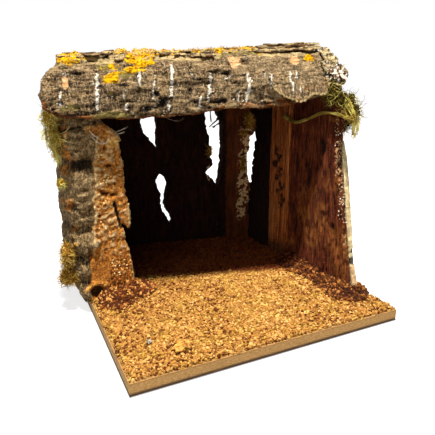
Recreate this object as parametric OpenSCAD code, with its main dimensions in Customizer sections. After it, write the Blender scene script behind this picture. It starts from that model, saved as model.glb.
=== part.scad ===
// Nativity stable: rough bark slabs glued round three sides of a board that is covered
// with cork granulate, under a half round of bark and a flatter bark slab behind it.
// Origin: centre of the board's underside. X runs to the right, Y to the back, Z up.

/* [Board] */
// Width of the base board
board_w = 200; // [185:1:240]
// Depth of the base board, front to back
board_d = 240; // [210:1:300]
// Thickness of the base board
board_t = 8; // [4:0.5:14]

/* [Ground cover] */
// Thickness of the cork granulate on the board
grit_t = 2.5; // [1.5:0.1:4]
// Bare rim between the granulate and the board's edge
grit_rim = 1; // [0.2:0.1:4]
// Height of the grit heap at the left wall's front foot
heap_left_h = 13; // [8:0.5:18]
// Height of the grit heaps along the right wall's foot
heap_right_h = 10; // [6:0.5:14]

/* [Left wall] */
// Length of the front slab, front to back
left_front_l = 66; // [50:1:80]
// Thickness of the front slab at its broken front end, bulge included
left_front_t = 46; // [38:1:52]
// How far the front slab bulges past the board's left edge
left_bulge = 12; // [6:0.5:18]
// Length of the rear slab, front to back
left_rear_l = 56; // [44:1:70]
// Thickness of the rear slab
left_rear_t = 16; // [10:0.5:22]

/* [Right wall] */
// Length of the thick fibrous front slab
right_front_l = 91; // [75:1:105]
// Length of the flat slab in the middle
right_mid_l = 32; // [24:1:40]
// Length of the dark slab at the back
right_rear_l = 36; // [28:1:44]
// Thickness of the right wall's slabs
right_t = 6.5; // [4.5:0.5:9]
// Thickness of the pale slat outside the front slab
slat_t = 4.5; // [2.5:0.5:6]
// Length of the pale slat, front to back
slat_l = 58; // [40:1:74]
// Height of the pale slat above the board
slat_h = 118; // [90:1:126]

/* [Back wall] */
// Thickness of the back wall's slabs
back_t = 10; // [7:0.5:14]
// Bare strip of board behind the middle of the back wall
back_strip = 17; // [12:1:26]

/* [Roof] */
// Height of the half round's axis above the board, at its middle
axis_h = 143; // [125:1:165]
// Outer radius of the half round
roof_r = 41; // [36:0.5:46]
// Thickness of the half round's bark
roof_t = 9; // [6:0.5:11]
// How far the roof reaches past the board's left edge
eave_left = 15; // [10:1:20]
// How far the roof reaches past the board's right edge
eave_right = 7; // [4:1:12]
// Distance from the half round's axis to the back wall's inner face
axis_to_back = 88; // [78:1:100]
// How far the roof reaches past the back wall
eave_back = 8; // [4:1:14]
// Thickness of the slab behind the half round
rear_t = 8; // [5:0.5:11]
// Angle between the roof ridge and the board's front edge
turn = 9.8; // [4:0.2:14]
// Rise of the roof towards the right
tilt = 3.5; // [0:0.5:5]

/* [Hidden] */

// Clearance between pieces that are glued together
gap = 0.3;
// How far cutting shapes run past what they cut
overrun = 60;
// Segments on round faces
round_fn = 96;

left_x = -board_w / 2;
right_x = board_w / 2;
front_y = -board_d / 2;
back_y = board_d / 2;
ground_z = board_t + grit_t;
wall_h = axis_h + roof_r;

// Back wall: the middle of its inner face, and how far it runs each way
back_line_y = back_y - back_strip - back_t;
skew = tan(turn);

// Left wall: slabs run forward from the back wall's left end
left_end_y = back_line_y + skew * board_w / 2;
left_rear_y = left_end_y - left_rear_l;
left_front_y = left_rear_y - gap - left_front_l;
// How far the rear slab stands out past the board's edge
left_rear_out = 5;
left_inner_x = left_x + left_rear_t - left_rear_out;

// Right wall: the outer slat stands just inside the board's right edge
slat_inset = 4.5;
slat_x = right_x - slat_inset - slat_t;
right_outer_x = slat_x - gap;
right_inner_x = right_outer_x - right_t;
// Room between the right wall's back end and the back wall
right_back_room = 5;
right_end_y = back_line_y - skew * right_x - right_back_room;
right_rear_y = right_end_y - right_rear_l;
right_mid_y = right_rear_y - gap - right_mid_l;
right_front_y = right_mid_y - gap - right_front_l;

// Back wall: places along its inner face, from the middle of the board
back_from = (left_inner_x + gap) / cos(turn) + back_t * skew;
back_to = right_outer_x / cos(turn);
back_span = back_to - back_from - 2 * gap;

// Roof: in its own frame, with the half round's axis along X through the origin
roof_in = roof_r - roof_t;
roof_len = (board_w + eave_left + eave_right) / cos(turn);
roof_mid = (eave_right - eave_left) / 2;
meet_angle = 30;
rear_fall = 7;
lap = 14;
lip_drop = 3;
meet_v = roof_r * cos(meet_angle);
meet_w = roof_r * sin(meet_angle);
lap_v = meet_v - lap;
eave_v = axis_to_back + back_t + eave_back;

// Height of the rear roof slab's top face, v behind the axis
function rear_top(v) = meet_w + (meet_v - v) * tan(rear_fall);

// Outline helpers: points given as shares of a width and a height
function scaled(points, w, h) = [for (p = points) [p[0] * w, p[1] * h]];

// The half round's lower front edge: share of the length, share of the radius above the axis
lip_shares = [
    [0, 0.42], [0.008, 0.16], [0.055, 0.03], [0.13, -0.03], [0.22, -0.07], [0.33, -0.075],
    [0.45, -0.07], [0.56, -0.03], [0.64, -0.06], [0.74, -0.06], [0.79, -0.02],
    [0.85, 0.03], [0.90, 0.09], [0.915, 0.24], [0.975, 0.25], [1, 0.4]
];
// The roof's ends above that edge, right end first
roof_end_shares = [[0.995, 0.55], [0.955, 0.74], [0.925, 1.1], [0.065, 1.1], [0.05, 0.85], [0.02, 0.7]];

// Turns and lifts what is drawn in the roof's frame to its place
module in_roof() {
    axis_y = back_line_y - skew * roof_mid - axis_to_back / cos(turn);
    translate([roof_mid, axis_y, board_t + axis_h])
        rotate([0, -tilt, -turn])
            children();
}

// Runs a section drawn as (depth, height) along X
module run_along_x(length) {
    rotate([90, 0, 90])
        linear_extrude(length, center = true)
            children();
}

// Runs an outline drawn as (length, height) along Y
module run_along_y(depth) {
    rotate([90, 0, 0])
        linear_extrude(depth, center = true)
            children();
}

// Everything in front of and below the half round's lower edge, drop below it
module lip_area(drop, low) {
    translate([-roof_len / 2, -drop])
        polygon(concat(scaled(lip_shares, roof_len, roof_r), [[roof_len, -low], [0, -low]]));
}

// The space that walls may fill: it ends one clearance below the roof's undersides
module below_roof() {
    reach = board_w + 2 * overrun;
    low = wall_h + overrun;
    in_roof() {
        intersection() {
            run_along_y(2 * reach) lip_area(gap, low);
            translate([-reach, -reach, -low]) cube([2 * reach, reach, 2 * low]);
        }
        run_along_x(reach)
            intersection() {
                union() {
                    circle(roof_in - gap, $fn = round_fn);
                    translate([-roof_in + gap, -low]) square([roof_in - gap, low]);
                }
                translate([-reach, -low]) square([reach + lap_v - gap, 2 * low]);
            }
        run_along_x(reach)
            polygon([
                [0, -low], [reach, -low],
                [reach, rear_top(reach) - rear_t - gap],
                [0, rear_top(0) - rear_t - gap]
            ]);
    }
}

// A slab: its plan raised to the roof
module raised(height = wall_h) {
    translate([0, 0, board_t]) linear_extrude(height) children();
}

// Plan of a bark slab along Y: flat inner face at right, bowed outer face at left
module slab_plan(length, thick, bow, grow = 0) {
    steps = 6;
    outer = [for (i = [0:steps]) [
        -grow + bow * (1 - sin(180 * i / steps)),
        -grow + (length + 2 * grow) * i / steps
    ]];
    polygon(concat(outer, [[thick + grow, length + grow], [thick + grow, -grow]]));
}

// Plan of the thick front slab of the left wall, which thins away from its broken end
left_front_shares = [
    [0.22, 0], [0.1, 0.1], [0.03, 0.25], [0, 0.45], [0.04, 0.7], [0.1, 0.88], [0.13, 1],
    [0.5, 1], [0.52, 0.6], [0.58, 0.36], [0.74, 0.2], [0.95, 0.07], [1, 0.02], [0.93, 0], [0.6, 0.03]
];
module left_front_plan() {
    translate([left_x - left_bulge, left_front_y])
        polygon(scaled(left_front_shares, left_front_t, left_front_l));
}
module left_rear_plan() {
    bow = 3;
    translate([left_x - left_rear_out, left_rear_y])
        slab_plan(left_rear_l, left_rear_t, bow);
}

// Outline of the left front slab seen from the front, with the split finger on its right
left_face_shares = [
    [0.2, 0], [0.1, 0.04], [0.02, 0.09], [0, 0.2], [0, 0.36], [0.03, 0.5], [0.02, 0.62],
    [0.01, 0.75], [0.04, 1], [0.52, 1], [0.53, 0.8], [0.56, 0.75], [0.7, 0.715], [0.88, 0.675], [0.86, 0.64],
    [0.9, 0.56], [0.9, 0.48], [0.96, 0.4], [0.98, 0.34], [0.96, 0.3], [0.92, 0.3],
    [0.84, 0.355], [0.79, 0.39], [0.83, 0.34], [0.86, 0.28], [0.93, 0.2], [0.99, 0.1], [1, 0]
];
module left_front_slab() {
    color("#6f6453")
        intersection() {
            raised() left_front_plan();
            translate([left_x - left_bulge, left_front_y + left_front_l / 2, board_t])
                run_along_y(left_front_l + overrun)
                    polygon(scaled(left_face_shares, left_front_t, wall_h));
            below_roof();
        }
}

// Outline of a wall seen from its side: shares of the slab's length and the wall's height
module side_cut(points, length) {
    rotate([90, 0, 90])
        linear_extrude(2 * overrun, center = true)
            polygon(scaled(points, length, wall_h));
}

left_rear_side_shares = [
    [0, 0], [0, 1], [0.98, 1], [0.95, 0.7], [1, 0.55], [0.97, 0.35], [1, 0.2], [0.96, 0]
];
module left_rear_slab() {
    color("#5b5145")
        intersection() {
            raised() left_rear_plan();
            translate([left_x, left_rear_y, board_t]) side_cut(left_rear_side_shares, left_rear_l);
            below_roof();
        }
}

// Right wall: three slabs in line, each with its own side outline
module right_plan(y, length) {
    translate([right_inner_x, y])
        square([right_t, length]);
}
module right_slab(y, length, points) {
    intersection() {
        raised() right_plan(y, length);
        translate([right_inner_x, y, board_t]) side_cut(points, length);
        below_roof();
    }
}

// The front slab's front edge leans back and thins to a feather edge along its lean
right_front_side_shares = [
    [0, 0], [0.054, 0.092], [0.11, 0.174], [0.147, 0.234], [0.175, 0.32], [0.22, 0.402], [0.274, 0.484],
    [0.307, 0.543], [0.307, 0.625], [0.29, 0.668], [0.25, 0.7], [0.23, 0.73], [0.26, 0.76], [0.32, 0.8],
    [0.36, 0.83], [0.38, 1], [1, 1], [0.97, 0.75], [1, 0.5], [0.98, 0.25], [1, 0]
];
feather_l = 10;
feather_t = 1.5;
front_lean = 10;
module feathered() {
    far = 2 * right_front_l;
    translate([right_inner_x, right_front_y, board_t])
        rotate([-front_lean, 0, 0])
            translate([0, 0, -overrun])
                linear_extrude(wall_h + 2 * overrun)
                    polygon([[0, 0], [feather_t, 0], [right_t, feather_l], [right_t, far], [0, far]]);
}
module right_front_slab() {
    color("#5e3a24")
        intersection() {
            feathered();
            translate([right_inner_x, right_front_y, board_t]) side_cut(right_front_side_shares, right_front_l);
            raised() right_plan(right_front_y, right_front_l);
            below_roof();
        }
}
right_mid_side_shares = [
    [0.02, 0], [0, 0.2], [0.04, 0.5], [0, 0.8], [0.03, 1], [1, 1], [0.97, 0.7], [1, 0.45], [0.96, 0.2], [1, 0]
];
module right_mid_slab() {
    color("#6b4029") right_slab(right_mid_y, right_mid_l, right_mid_side_shares);
}
right_rear_side_shares = [
    [0, 0], [0.03, 0.3], [0, 0.6], [0.03, 1], [0.92, 1], [0.92, 0.74], [0.62, 0.7], [0.7, 0.55],
    [0.86, 0.37], [1, 0.18], [0.98, 0]
];
module right_rear_slab() {
    color("#3f2b20") right_slab(right_rear_y, right_rear_l, right_rear_side_shares);
}

// Pale slat that stiffens the right wall from outside
slat_side_shares = [
    [0, 0], [0.08, 0.11], [0.16, 0.245], [0.2, 0.35], [0.255, 0.48], [0.307, 0.61], [0.35, 0.71],
    [0.39, 0.8], [0.445, 0.9], [0.52, 1], [0.9, 0.98], [1, 0.86], [0.96, 0.4], [1, 0]
];
slat_setback = 3;
module right_outer_slat() {
    color("#d9c6a0")
        translate([slat_x, right_front_y + slat_setback, board_t])
            rotate([90, 0, 90])
                linear_extrude(slat_t)
                    polygon(scaled(slat_side_shares, slat_l, slat_h));
}

// Places what is drawn as (along the wall, height) on the back wall's inner face
module on_back(s, z = 0) {
    translate([0, back_line_y, board_t])
        rotate([0, 0, -turn])
            translate([s, 0, z])
                children();
}
module back_slab(s, points) {
    intersection() {
        on_back(back_from + s)
            translate([0, back_t, 0])
                rotate([90, 0, 0])
                    linear_extrude(back_t)
                        polygon(scaled(points, back_span, wall_h));
        below_roof();
    }
}
// Outlines as shares of the whole back wall. Neighbours touch along the two seams and
// leave daylight where their edges draw back from them.
left_seam_shares = [[0.51, 0], [0.5, 0.1], [0.436, 0.41], [0.433, 0.54]];
right_seam_shares = [[0.79, 0], [0.784, 0.17], [0.776, 0.315]];
back_left_face_shares = concat(
    [[0, 0], [0, 1], [0.34, 1], [0.345, 0.685], [0.356, 0.63], [0.4, 0.575]],
    [left_seam_shares[3], left_seam_shares[2]],
    [[0.417, 0.37], [0.413, 0.353], [0.441, 0.283], [0.436, 0.234], [0.451, 0.179], [0.477, 0.141]],
    [left_seam_shares[1], left_seam_shares[0]]
);
module back_left_slab() {
    color("#33241b") back_slab(0, back_left_face_shares);
}
back_mid_face_shares = concat(
    [left_seam_shares[0], left_seam_shares[1]],
    [[0.504, 0.136], [0.499, 0.174], [0.479, 0.185], [0.463, 0.234], [0.482, 0.33], [0.477, 0.37], [0.452, 0.397]],
    [left_seam_shares[2], left_seam_shares[3]],
    [[0.432, 0.56], [0.433, 0.69], [0.433, 1], [0.711, 1], [0.711, 0.712], [0.718, 0.652], [0.738, 0.587]],
    [[0.738, 0.533], [0.745, 0.478], [0.762, 0.446], [0.737, 0.424], [0.707, 0.4], [0.745, 0.37], [0.77, 0.34]],
    [right_seam_shares[2], right_seam_shares[1], right_seam_shares[0]]
);
module back_mid_slab() {
    color("#3a281d") back_slab(gap, back_mid_face_shares);
}
back_right_face_shares = concat(
    [right_seam_shares[0], right_seam_shares[1], right_seam_shares[2]],
    [[0.791, 0.359], [0.798, 0.478], [0.805, 0.533], [0.805, 0.666], [0.778, 0.717], [0.772, 1]],
    [[1, 1], [1, 0.67], [0.98, 0.64], [0.965, 0.595], [0.96, 0.527], [0.95, 0.495], [0.955, 0.386]],
    [[0.965, 0.33], [0.978, 0.32], [0.99, 0.28], [1, 0]]
);
module back_right_slab() {
    color("#6a4a30") back_slab(2 * gap, back_right_face_shares);
}

// Short slat end glued inside the left slab, below the roof
back_slat_w = 9;
back_slat_t = 5;
back_slat_l = 46;
back_slat_s_share = 0.245;
module back_left_slat() {
    color("#7a6048")
        intersection() {
            on_back(back_from + back_slat_s_share * back_span, wall_h - roof_r - back_slat_l / 2)
                translate([0, -gap - back_slat_t, 0])
                    cube([back_slat_w, back_slat_t, back_slat_l + roof_r]);
            below_roof();
        }
}

// Half round of bark: ridged outer face, plain inner face, ragged lip and ends
outer_dip_shares = [0, 0.012, 0.004, 0.022, 0.006, 0, 0.016, 0.008, 0, 0.02, 0.01, 0, 0.014, 0.003, 0.02, 0.006, 0];
module half_round_section() {
    last = len(outer_dip_shares) - 1;
    difference() {
        polygon(concat(
            [for (i = [0:last])
                roof_r * (1 - outer_dip_shares[i]) * [-cos(-8 + 196 * i / last), sin(-8 + 196 * i / last)]],
            [[0, -lip_drop]]
        ));
        circle(roof_in, $fn = round_fn);
        polygon([
            [0, -roof_r], [roof_r + overrun, -roof_r],
            [roof_r + overrun, rear_top(roof_r + overrun) + gap], [0, rear_top(0) + gap]
        ]);
    }
}
module roof_outline() {
    translate([-roof_len / 2, 0])
        polygon(concat(scaled(lip_shares, roof_len, roof_r), scaled(roof_end_shares, roof_len, roof_r)));
}
// Thin bark sheet on the half round, with ragged edges
flake_shares = [
    [0.05, 0.1], [0.3, 0], [0.5, 0.12], [0.75, 0.02], [1, 0.15], [0.93, 0.4], [1, 0.65], [0.9, 0.95],
    [0.7, 0.85], [0.45, 1], [0.25, 0.86], [0.08, 0.95], [0, 0.6], [0.08, 0.35]
];
module flake(u_share, length, from_angle, to_angle, thick, r = roof_r + gap) {
    translate([(u_share - 0.5) * roof_len, 0, 0])
        intersection() {
            flake_band(r, length, from_angle, to_angle, thick);
            translate([-length / 2, -(r + thick) * cos(from_angle), 0])
                linear_extrude(2 * r)
                    polygon(scaled(flake_shares, length, (r + thick) * (cos(from_angle) - cos(to_angle))));
        }
}
module flake_band(r, length, from_angle, to_angle, thick) {
    mid_angle = (from_angle + to_angle) / 2;
    run_along_x(length)
        intersection() {
            difference() {
                circle(r + thick, $fn = round_fn);
                circle(r, $fn = round_fn);
            }
            polygon([
                [0, 0],
                2 * r * [-cos(from_angle), sin(from_angle)],
                2 * r * [-cos(mid_angle), sin(mid_angle)],
                2 * r * [-cos(to_angle), sin(to_angle)]
            ]);
        }
}
// Bark plates that stand proud, and hollows where plates have come off:
// share of the roof's length for the middle and for the plate, then the angles it spans
plate_shares = [
    [0.12, 0.13, 52, 84], [0.3, 0.2, 64, 100], [0.24, 0.15, 20, 46], [0.46, 0.18, 26, 50],
    [0.6, 0.13, 48, 70], [0.69, 0.15, 14, 34], [0.3, 0.3, 106, 126], [0.66, 0.3, 112, 126]
];
hollow_shares = [
    [0.19, 0.1, 56, 72], [0.36, 0.1, 6, 20], [0.41, 0.12, 66, 84], [0.52, 0.12, 54, 68],
    [0.58, 0.14, 20, 40], [0.8, 0.1, 34, 52], [0.5, 0.14, 104, 122]
];
plate_t = 1.4;
plate_sink = 2;
hollow_t = 1.4;
module roof_front_bark() {
    color("#7b7061")
        in_roof()
            difference() {
                union() {
                    intersection() {
                        run_along_x(roof_len) half_round_section();
                        run_along_y(2 * roof_r + overrun) roof_outline();
                    }
                    for (p = plate_shares)
                        flake(p[0], p[1] * roof_len, p[2], p[3], plate_sink + plate_t, roof_r - plate_sink);
                }
                for (p = hollow_shares)
                    flake(p[0], p[1] * roof_len, p[2], p[3], 2 * hollow_t, roof_r - hollow_t);
            }
}

// Flatter slab behind the half round, which laps under its rear edge
rear_plan_shares = [
    [0.03, 0], [0.01, 0.3], [0.035, 0.6], [0.02, 0.95], [0.2, 1], [0.35, 0.97], [0.5, 1],
    [0.7, 0.96], [0.86, 1], [0.97, 0.93], [0.96, 0.6], [0.98, 0.3], [0.96, 0]
];
module roof_rear_bark() {
    rear_l = eave_v - lap_v;
    color("#655a4c")
        in_roof()
            intersection() {
                run_along_x(roof_len)
                    polygon([
                        [lap_v, rear_top(lap_v)], [lap_v + lap / 2, rear_top(lap_v + lap / 2)],
                        [eave_v, rear_top(eave_v)],
                        [eave_v, rear_top(eave_v) - rear_t], [lap_v, rear_top(lap_v) - rear_t]
                    ]);
                translate([-roof_len / 2, lap_v, -roof_r])
                    linear_extrude(3 * roof_r)
                        polygon(scaled(rear_plan_shares, roof_len, rear_l));
            }
}

// Flakes glued on the half round
top_flake_l = 46;
top_flake_t = 3.5;
top_flake_u_share = 0.83;
module roof_top_flake() {
    color("#8a7355") in_roof() flake(top_flake_u_share, top_flake_l, 58, 112, top_flake_t);
}
end_flake_l = 14;
end_flake_t = 2.5;
end_flake_u_share = 0.94;
module roof_end_flake() {
    color("#b8ab95") in_roof() flake(end_flake_u_share, end_flake_l, 22, 50, end_flake_t);
}

// Board and ground cover
module base_board() {
    color("#c79f6c")
        translate([left_x, front_y, 0])
            cube([board_w, board_d, board_t]);
}
// Plans of the pieces that stand on the board, one clearance larger
module standing_plans() {
    translate([left_x - left_bulge, left_front_y - gap])
        square([left_front_t + gap, left_front_l + 2 * gap]);
    translate([left_x - left_bulge, left_rear_y - gap])
        square([left_bulge + left_inner_x - left_x + gap, left_rear_l + 2 * gap]);
    translate([right_inner_x - gap, right_front_y - gap])
        square([right_t + slat_t + 3 * gap, right_end_y - right_front_y + 2 * gap]);
    translate([0, back_line_y])
        rotate(-turn)
            translate([back_from - gap, -gap])
                square([back_to - back_from + 2 * gap, back_t + 2 * gap]);
}
// Section of the uneven granulate, drawn as (length, height) round the middle
mound_pitch = 15;
mound_dip = 0.8;
module mounds_section(length) {
    count = ceil(length / mound_pitch);
    polygon(concat(
        [[-length / 2, -grit_t], [-length / 2, grit_t - mound_dip]],
        [for (i = [1:2 * count - 1]) [(i / (2 * count) - 0.5) * length, grit_t - mound_dip * (1 - i % 2)]],
        [[length / 2, grit_t - mound_dip], [length / 2, -grit_t]]
    ));
}
module ground_grit() {
    color("#c08a4a")
        translate([0, 0, board_t])
            intersection() {
                linear_extrude(grit_t)
                    difference() {
                        translate([left_x + grit_rim, front_y + grit_rim])
                            square([board_w - 2 * grit_rim, board_d - 2 * grit_rim]);
                        standing_plans();
                    }
                run_along_y(2 * board_d) mounds_section(board_w);
                run_along_x(2 * board_w) mounds_section(board_d);
            }
}

// Rounded heap with its foot on the ground cover
module heap(foot_r, height) {
    ball_r = (foot_r * foot_r + height * height) / (2 * height);
    intersection() {
        translate([0, 0, height - ball_r]) sphere(ball_r, $fn = round_fn);
        translate([-overrun, -overrun, 0]) cube([2 * overrun, 2 * overrun, 2 * height]);
    }
}
heap_left_r = 20;
heap_left_shares = [[1, 0.1, 1], [0.62, -0.12, 0.8], [0.9, 0.4, 0.6]];
module grit_heap_left() {
    color("#6b4423")
        difference() {
            for (p = heap_left_shares)
                translate([
                    left_x - left_bulge + p[0] * left_front_t,
                    left_front_y + p[1] * left_front_l,
                    ground_z
                ])
                    heap(heap_left_r * p[2], heap_left_h * p[2]);
            raised() standing_plans();
        }
}
heap_right_r = 19;
heap_right_count = ceil(right_front_l / heap_right_r);
module grit_heap_right() {
    color("#6b4423")
        difference() {
            for (i = [0:heap_right_count - 1]) {
                size_share = 0.86 + 0.14 * cos(100 * i);
                y_share = (i + 0.3) / heap_right_count;
                translate([right_inner_x - gap, right_front_y + y_share * right_front_l, ground_z])
                    heap(heap_right_r * size_share, heap_right_h * size_share);
            }
            raised() standing_plans();
        }
}

// Two loose-looking bark chips stuck on the forecourt
chip_t = 3;
chip_l = 13;
chip_shares = [[0, 0.2], [0.3, 0], [0.75, 0.1], [1, 0.5], [0.8, 0.85], [0.35, 0.75], [0.1, 0.55]];
module chip(x_share, y_share, size, angle) {
    translate([x_share * board_w, y_share * board_d, ground_z])
        rotate(angle)
            linear_extrude(chip_t * size / chip_l)
                polygon(scaled(chip_shares, size, size));
}
module ground_chips() {
    small_chip_l = 5;
    color("#e0b98a") {
        chip(-0.33, -0.455, chip_l, 20);
        chip(-0.395, -0.38, small_chip_l, 50);
    }
}

// Moss: clumps of overlapping balls, cut one clearance clear of walls and roof
module balls(points, r) {
    for (p = points)
        translate([p[0] * r, p[1] * r, p[2] * r])
            sphere(r * p[3], $fn = 48);
}
clump_shares = [
    [0, 0, 0, 1], [0.2, -0.9, -0.3, 0.8], [0, 0.9, -0.2, 0.85], [-0.1, -0.3, -1.1, 0.75],
    [0.1, 0.5, -1.2, 0.7], [0, -0.6, 0.7, 0.6], [0, 0.1, -1.9, 0.5]
];
moss_roof_r = 9;
module moss_roof_right() {
    color("#8c8a2e")
        intersection() {
            difference() {
                translate([
                    right_outer_x + moss_roof_r / 3,
                    right_front_y + 0.36 * right_front_l,
                    board_t + axis_h
                ])
                    balls(clump_shares, moss_roof_r);
                raised(2 * wall_h)
                    translate([right_inner_x - gap, right_front_y])
                        square([right_t + 2 * gap, right_front_l]);
            }
            below_roof();
        }
}
moss_left_r = 8;
module moss_left_upper() {
    color("#8c8a2e")
        difference() {
            translate([left_x - left_bulge, left_front_y + left_front_l / 4, board_t + 0.88 * axis_h])
                balls(clump_shares, moss_left_r);
            translate([-gap, 0, 0]) raised() left_front_plan();
        }
}
moss_foot_r = 8;
foot_clump_shares = [[-0.1, 0, 0, 1], [0.1, -0.9, 0.3, 0.75], [0.05, 0.3, 1.15, 0.7]];
module moss_left_foot() {
    color("#8c8a2e")
        difference() {
            translate([left_x - left_bulge, left_front_y + left_front_l / 4, board_t + 2.2 * moss_foot_r])
                balls(foot_clump_shares, moss_foot_r);
            translate([-gap, 0, 0]) raised() left_front_plan();
        }
}
moss_top_r = 9;
moss_top_shares = [[0.52, 88], [0.56, 93], [0.6, 87], [0.64, 92], [0.67, 88]];
module moss_roof_top() {
    color("#a09a35")
        in_roof()
            difference() {
                for (p = moss_top_shares)
                    translate([
                        (p[0] - 0.5) * roof_len,
                        -(roof_r - moss_top_r / 2) * cos(p[1]),
                        (roof_r - moss_top_r / 2) * sin(p[1])
                    ])
                        sphere(moss_top_r, $fn = 48);
                run_along_x(roof_len + overrun) circle(roof_r + gap, $fn = round_fn);
            }
}

// Moss tufts on the edges of two back slabs
tuft_r = 4;
module back_tufts(s_share, height_shares) {
    for (h = height_shares)
        on_back(back_from + s_share * back_span, h * wall_h)
            translate([0, -tuft_r - gap, 0])
                sphere(tuft_r, $fn = 48);
}
module moss_back_mid() {
    color("#9a8f3a") back_tufts(0.73, [0.51, 0.54]);
}
module moss_back_right() {
    color("#9a8f3a") back_tufts(0.935, [0.42, 0.46, 0.62]);
}

// Hot glue: beads where the roof sits on the walls, and in the corners
bead_r = 3;
left_inner_share = 0.56;
module roof_bead(x, y) {
    intersection() {
        translate([x, y, board_t]) cylinder(h = 2 * wall_h, r = bead_r, $fn = round_fn);
        below_roof();
        in_roof()
            run_along_x(board_w + overrun)
                difference() {
                    circle(roof_in - gap, $fn = round_fn);
                    circle(roof_in - gap - 2 * bead_r, $fn = round_fn);
                    translate([-roof_r, -roof_r]) square([2 * roof_r, roof_r]);
                }
    }
}
module glue_roof_left() {
    color("#e8e2d0")
        roof_bead(
            left_x - left_bulge + left_inner_share * left_front_t + bead_r + gap,
            left_front_y + left_front_l / 2
        );
}
module glue_roof_right() {
    color("#e8e2d0") roof_bead(right_inner_x - bead_r - gap, right_front_y + 0.62 * right_front_l);
}
module corner_bead(x, y, height) {
    translate([x, y, ground_z]) cylinder(h = height, r = bead_r, $fn = round_fn);
}
corner_bead_h = 90;
module glue_corner_left() {
    color("#e8e2d0")
        corner_bead(
            left_inner_x + gap + bead_r,
            back_line_y - skew * left_inner_x - gap - bead_r / cos(turn) - bead_r * skew,
            corner_bead_h
        );
}
module glue_corner_right() {
    color("#e8e2d0")
        corner_bead(right_outer_x + gap + bead_r, right_end_y, corner_bead_h / 2);
}
foot_bead_share = 0.26;
module glue_back_foot() {
    bead_l = foot_bead_share * back_span;
    color("#e8e2d0")
        on_back(back_from + 0.62 * back_span, grit_t)
            translate([0, back_t + gap, 0])
                intersection() {
                    rotate([0, 90, 0]) cylinder(h = bead_l, r = bead_r, center = true, $fn = round_fn);
                    translate([-bead_l, 0, 0]) cube([2 * bead_l, 2 * bead_r, 2 * bead_r]);
                }
}

base_board();
ground_grit();
grit_heap_left();
grit_heap_right();
ground_chips();
left_front_slab();
left_rear_slab();
right_front_slab();
right_mid_slab();
right_rear_slab();
right_outer_slat();
back_left_slab();
back_mid_slab();
back_right_slab();
back_left_slat();
roof_front_bark();
roof_rear_bark();
roof_top_flake();
roof_end_flake();
moss_roof_right();
moss_roof_top();
moss_left_upper();
moss_left_foot();
moss_back_mid();
moss_back_right();
glue_roof_left();
glue_roof_right();
glue_corner_left();
glue_corner_right();
glue_back_foot();
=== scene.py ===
import bpy
import bmesh
import math
import random
from mathutils import Matrix, Vector, noise


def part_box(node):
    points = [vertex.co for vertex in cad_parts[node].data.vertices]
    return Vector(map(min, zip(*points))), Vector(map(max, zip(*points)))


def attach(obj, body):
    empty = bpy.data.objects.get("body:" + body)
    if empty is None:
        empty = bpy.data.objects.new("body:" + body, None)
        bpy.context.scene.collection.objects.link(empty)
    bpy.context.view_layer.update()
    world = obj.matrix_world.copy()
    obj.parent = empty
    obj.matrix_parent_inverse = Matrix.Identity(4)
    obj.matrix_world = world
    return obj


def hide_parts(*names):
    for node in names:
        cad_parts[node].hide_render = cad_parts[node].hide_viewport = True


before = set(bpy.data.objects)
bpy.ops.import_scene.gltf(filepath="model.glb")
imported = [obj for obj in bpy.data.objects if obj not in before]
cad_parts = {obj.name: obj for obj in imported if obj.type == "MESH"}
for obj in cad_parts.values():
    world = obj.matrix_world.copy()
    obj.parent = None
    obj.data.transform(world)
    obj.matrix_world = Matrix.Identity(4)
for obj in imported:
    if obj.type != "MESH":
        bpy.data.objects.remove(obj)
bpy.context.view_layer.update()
mm = 0.001
scene = bpy.context.scene

# The camera stands low at the front left, a third of a metre away
view = {"azimuth": -25.745, "elevation": 15.789, "place": (-0.14703, -0.32906, 0.16204), "lens": 36.72}
cameraData = bpy.data.cameras.new("camera")
camera = bpy.data.objects.new("camera", cameraData)
scene.collection.objects.link(camera)
scene.camera = camera
cameraData.lens = view["lens"]
cameraData.sensor_width = 36
cameraData.clip_start = 0.01
side, lift = math.radians(view["azimuth"]), math.radians(view["elevation"])
lookBack = Vector((math.sin(side) * math.cos(lift), -math.cos(side) * math.cos(lift), math.sin(lift)))
camera.location = view["place"]
camera.rotation_euler = lookBack.to_track_quat("Z", "Y").to_euler()

# Places that several pieces share: the roof's axis, and the back wall's inner face
turn = math.radians(9.8)
roofPlace = (Matrix.Translation((-0.004, 0.0044, 0.151)) @ Matrix.Rotation(-turn, 4, "Z")
             @ Matrix.Rotation(math.radians(-3.5), 4, "Y"))
roofInverse = roofPlace.inverted()
backPlace = Matrix.Translation((0, 0.093, 0.008)) @ Matrix.Rotation(-turn, 4, "Z")
backInverse = backPlace.inverted()
roofRound = 41  # The half round's outer radius, in mm
groundTop = 0.0105


# Small helpers for meshes

def linked(name, mesh):
    piece = bpy.data.objects.new(name, mesh)
    scene.collection.objects.link(piece)
    return piece


def withMesh(piece, bm):
    bm.to_mesh(piece.data)
    bm.free()
    piece.data.update()
    return piece


def pieceFrom(name, bm):
    return withMesh(linked(name, bpy.data.meshes.new(name)), bm)


def mergedCopy(nodeName):
    # The CAD node's own triangles, joined at their corners
    bm = bmesh.new()
    bm.from_mesh(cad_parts[nodeName].data)
    bmesh.ops.remove_doubles(bm, verts=bm.verts, dist=1e-6)
    return bm


def applied(piece):
    # The modifiers' result becomes the piece's own mesh
    graph = bpy.context.evaluated_depsgraph_get()
    mesh = bpy.data.meshes.new_from_object(
        piece.evaluated_get(graph), preserve_all_data_layers=True, depsgraph=graph)
    piece.modifiers.clear()
    old = piece.data
    piece.data = mesh
    mesh.name = piece.name
    bpy.data.meshes.remove(old)
    return piece


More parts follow.
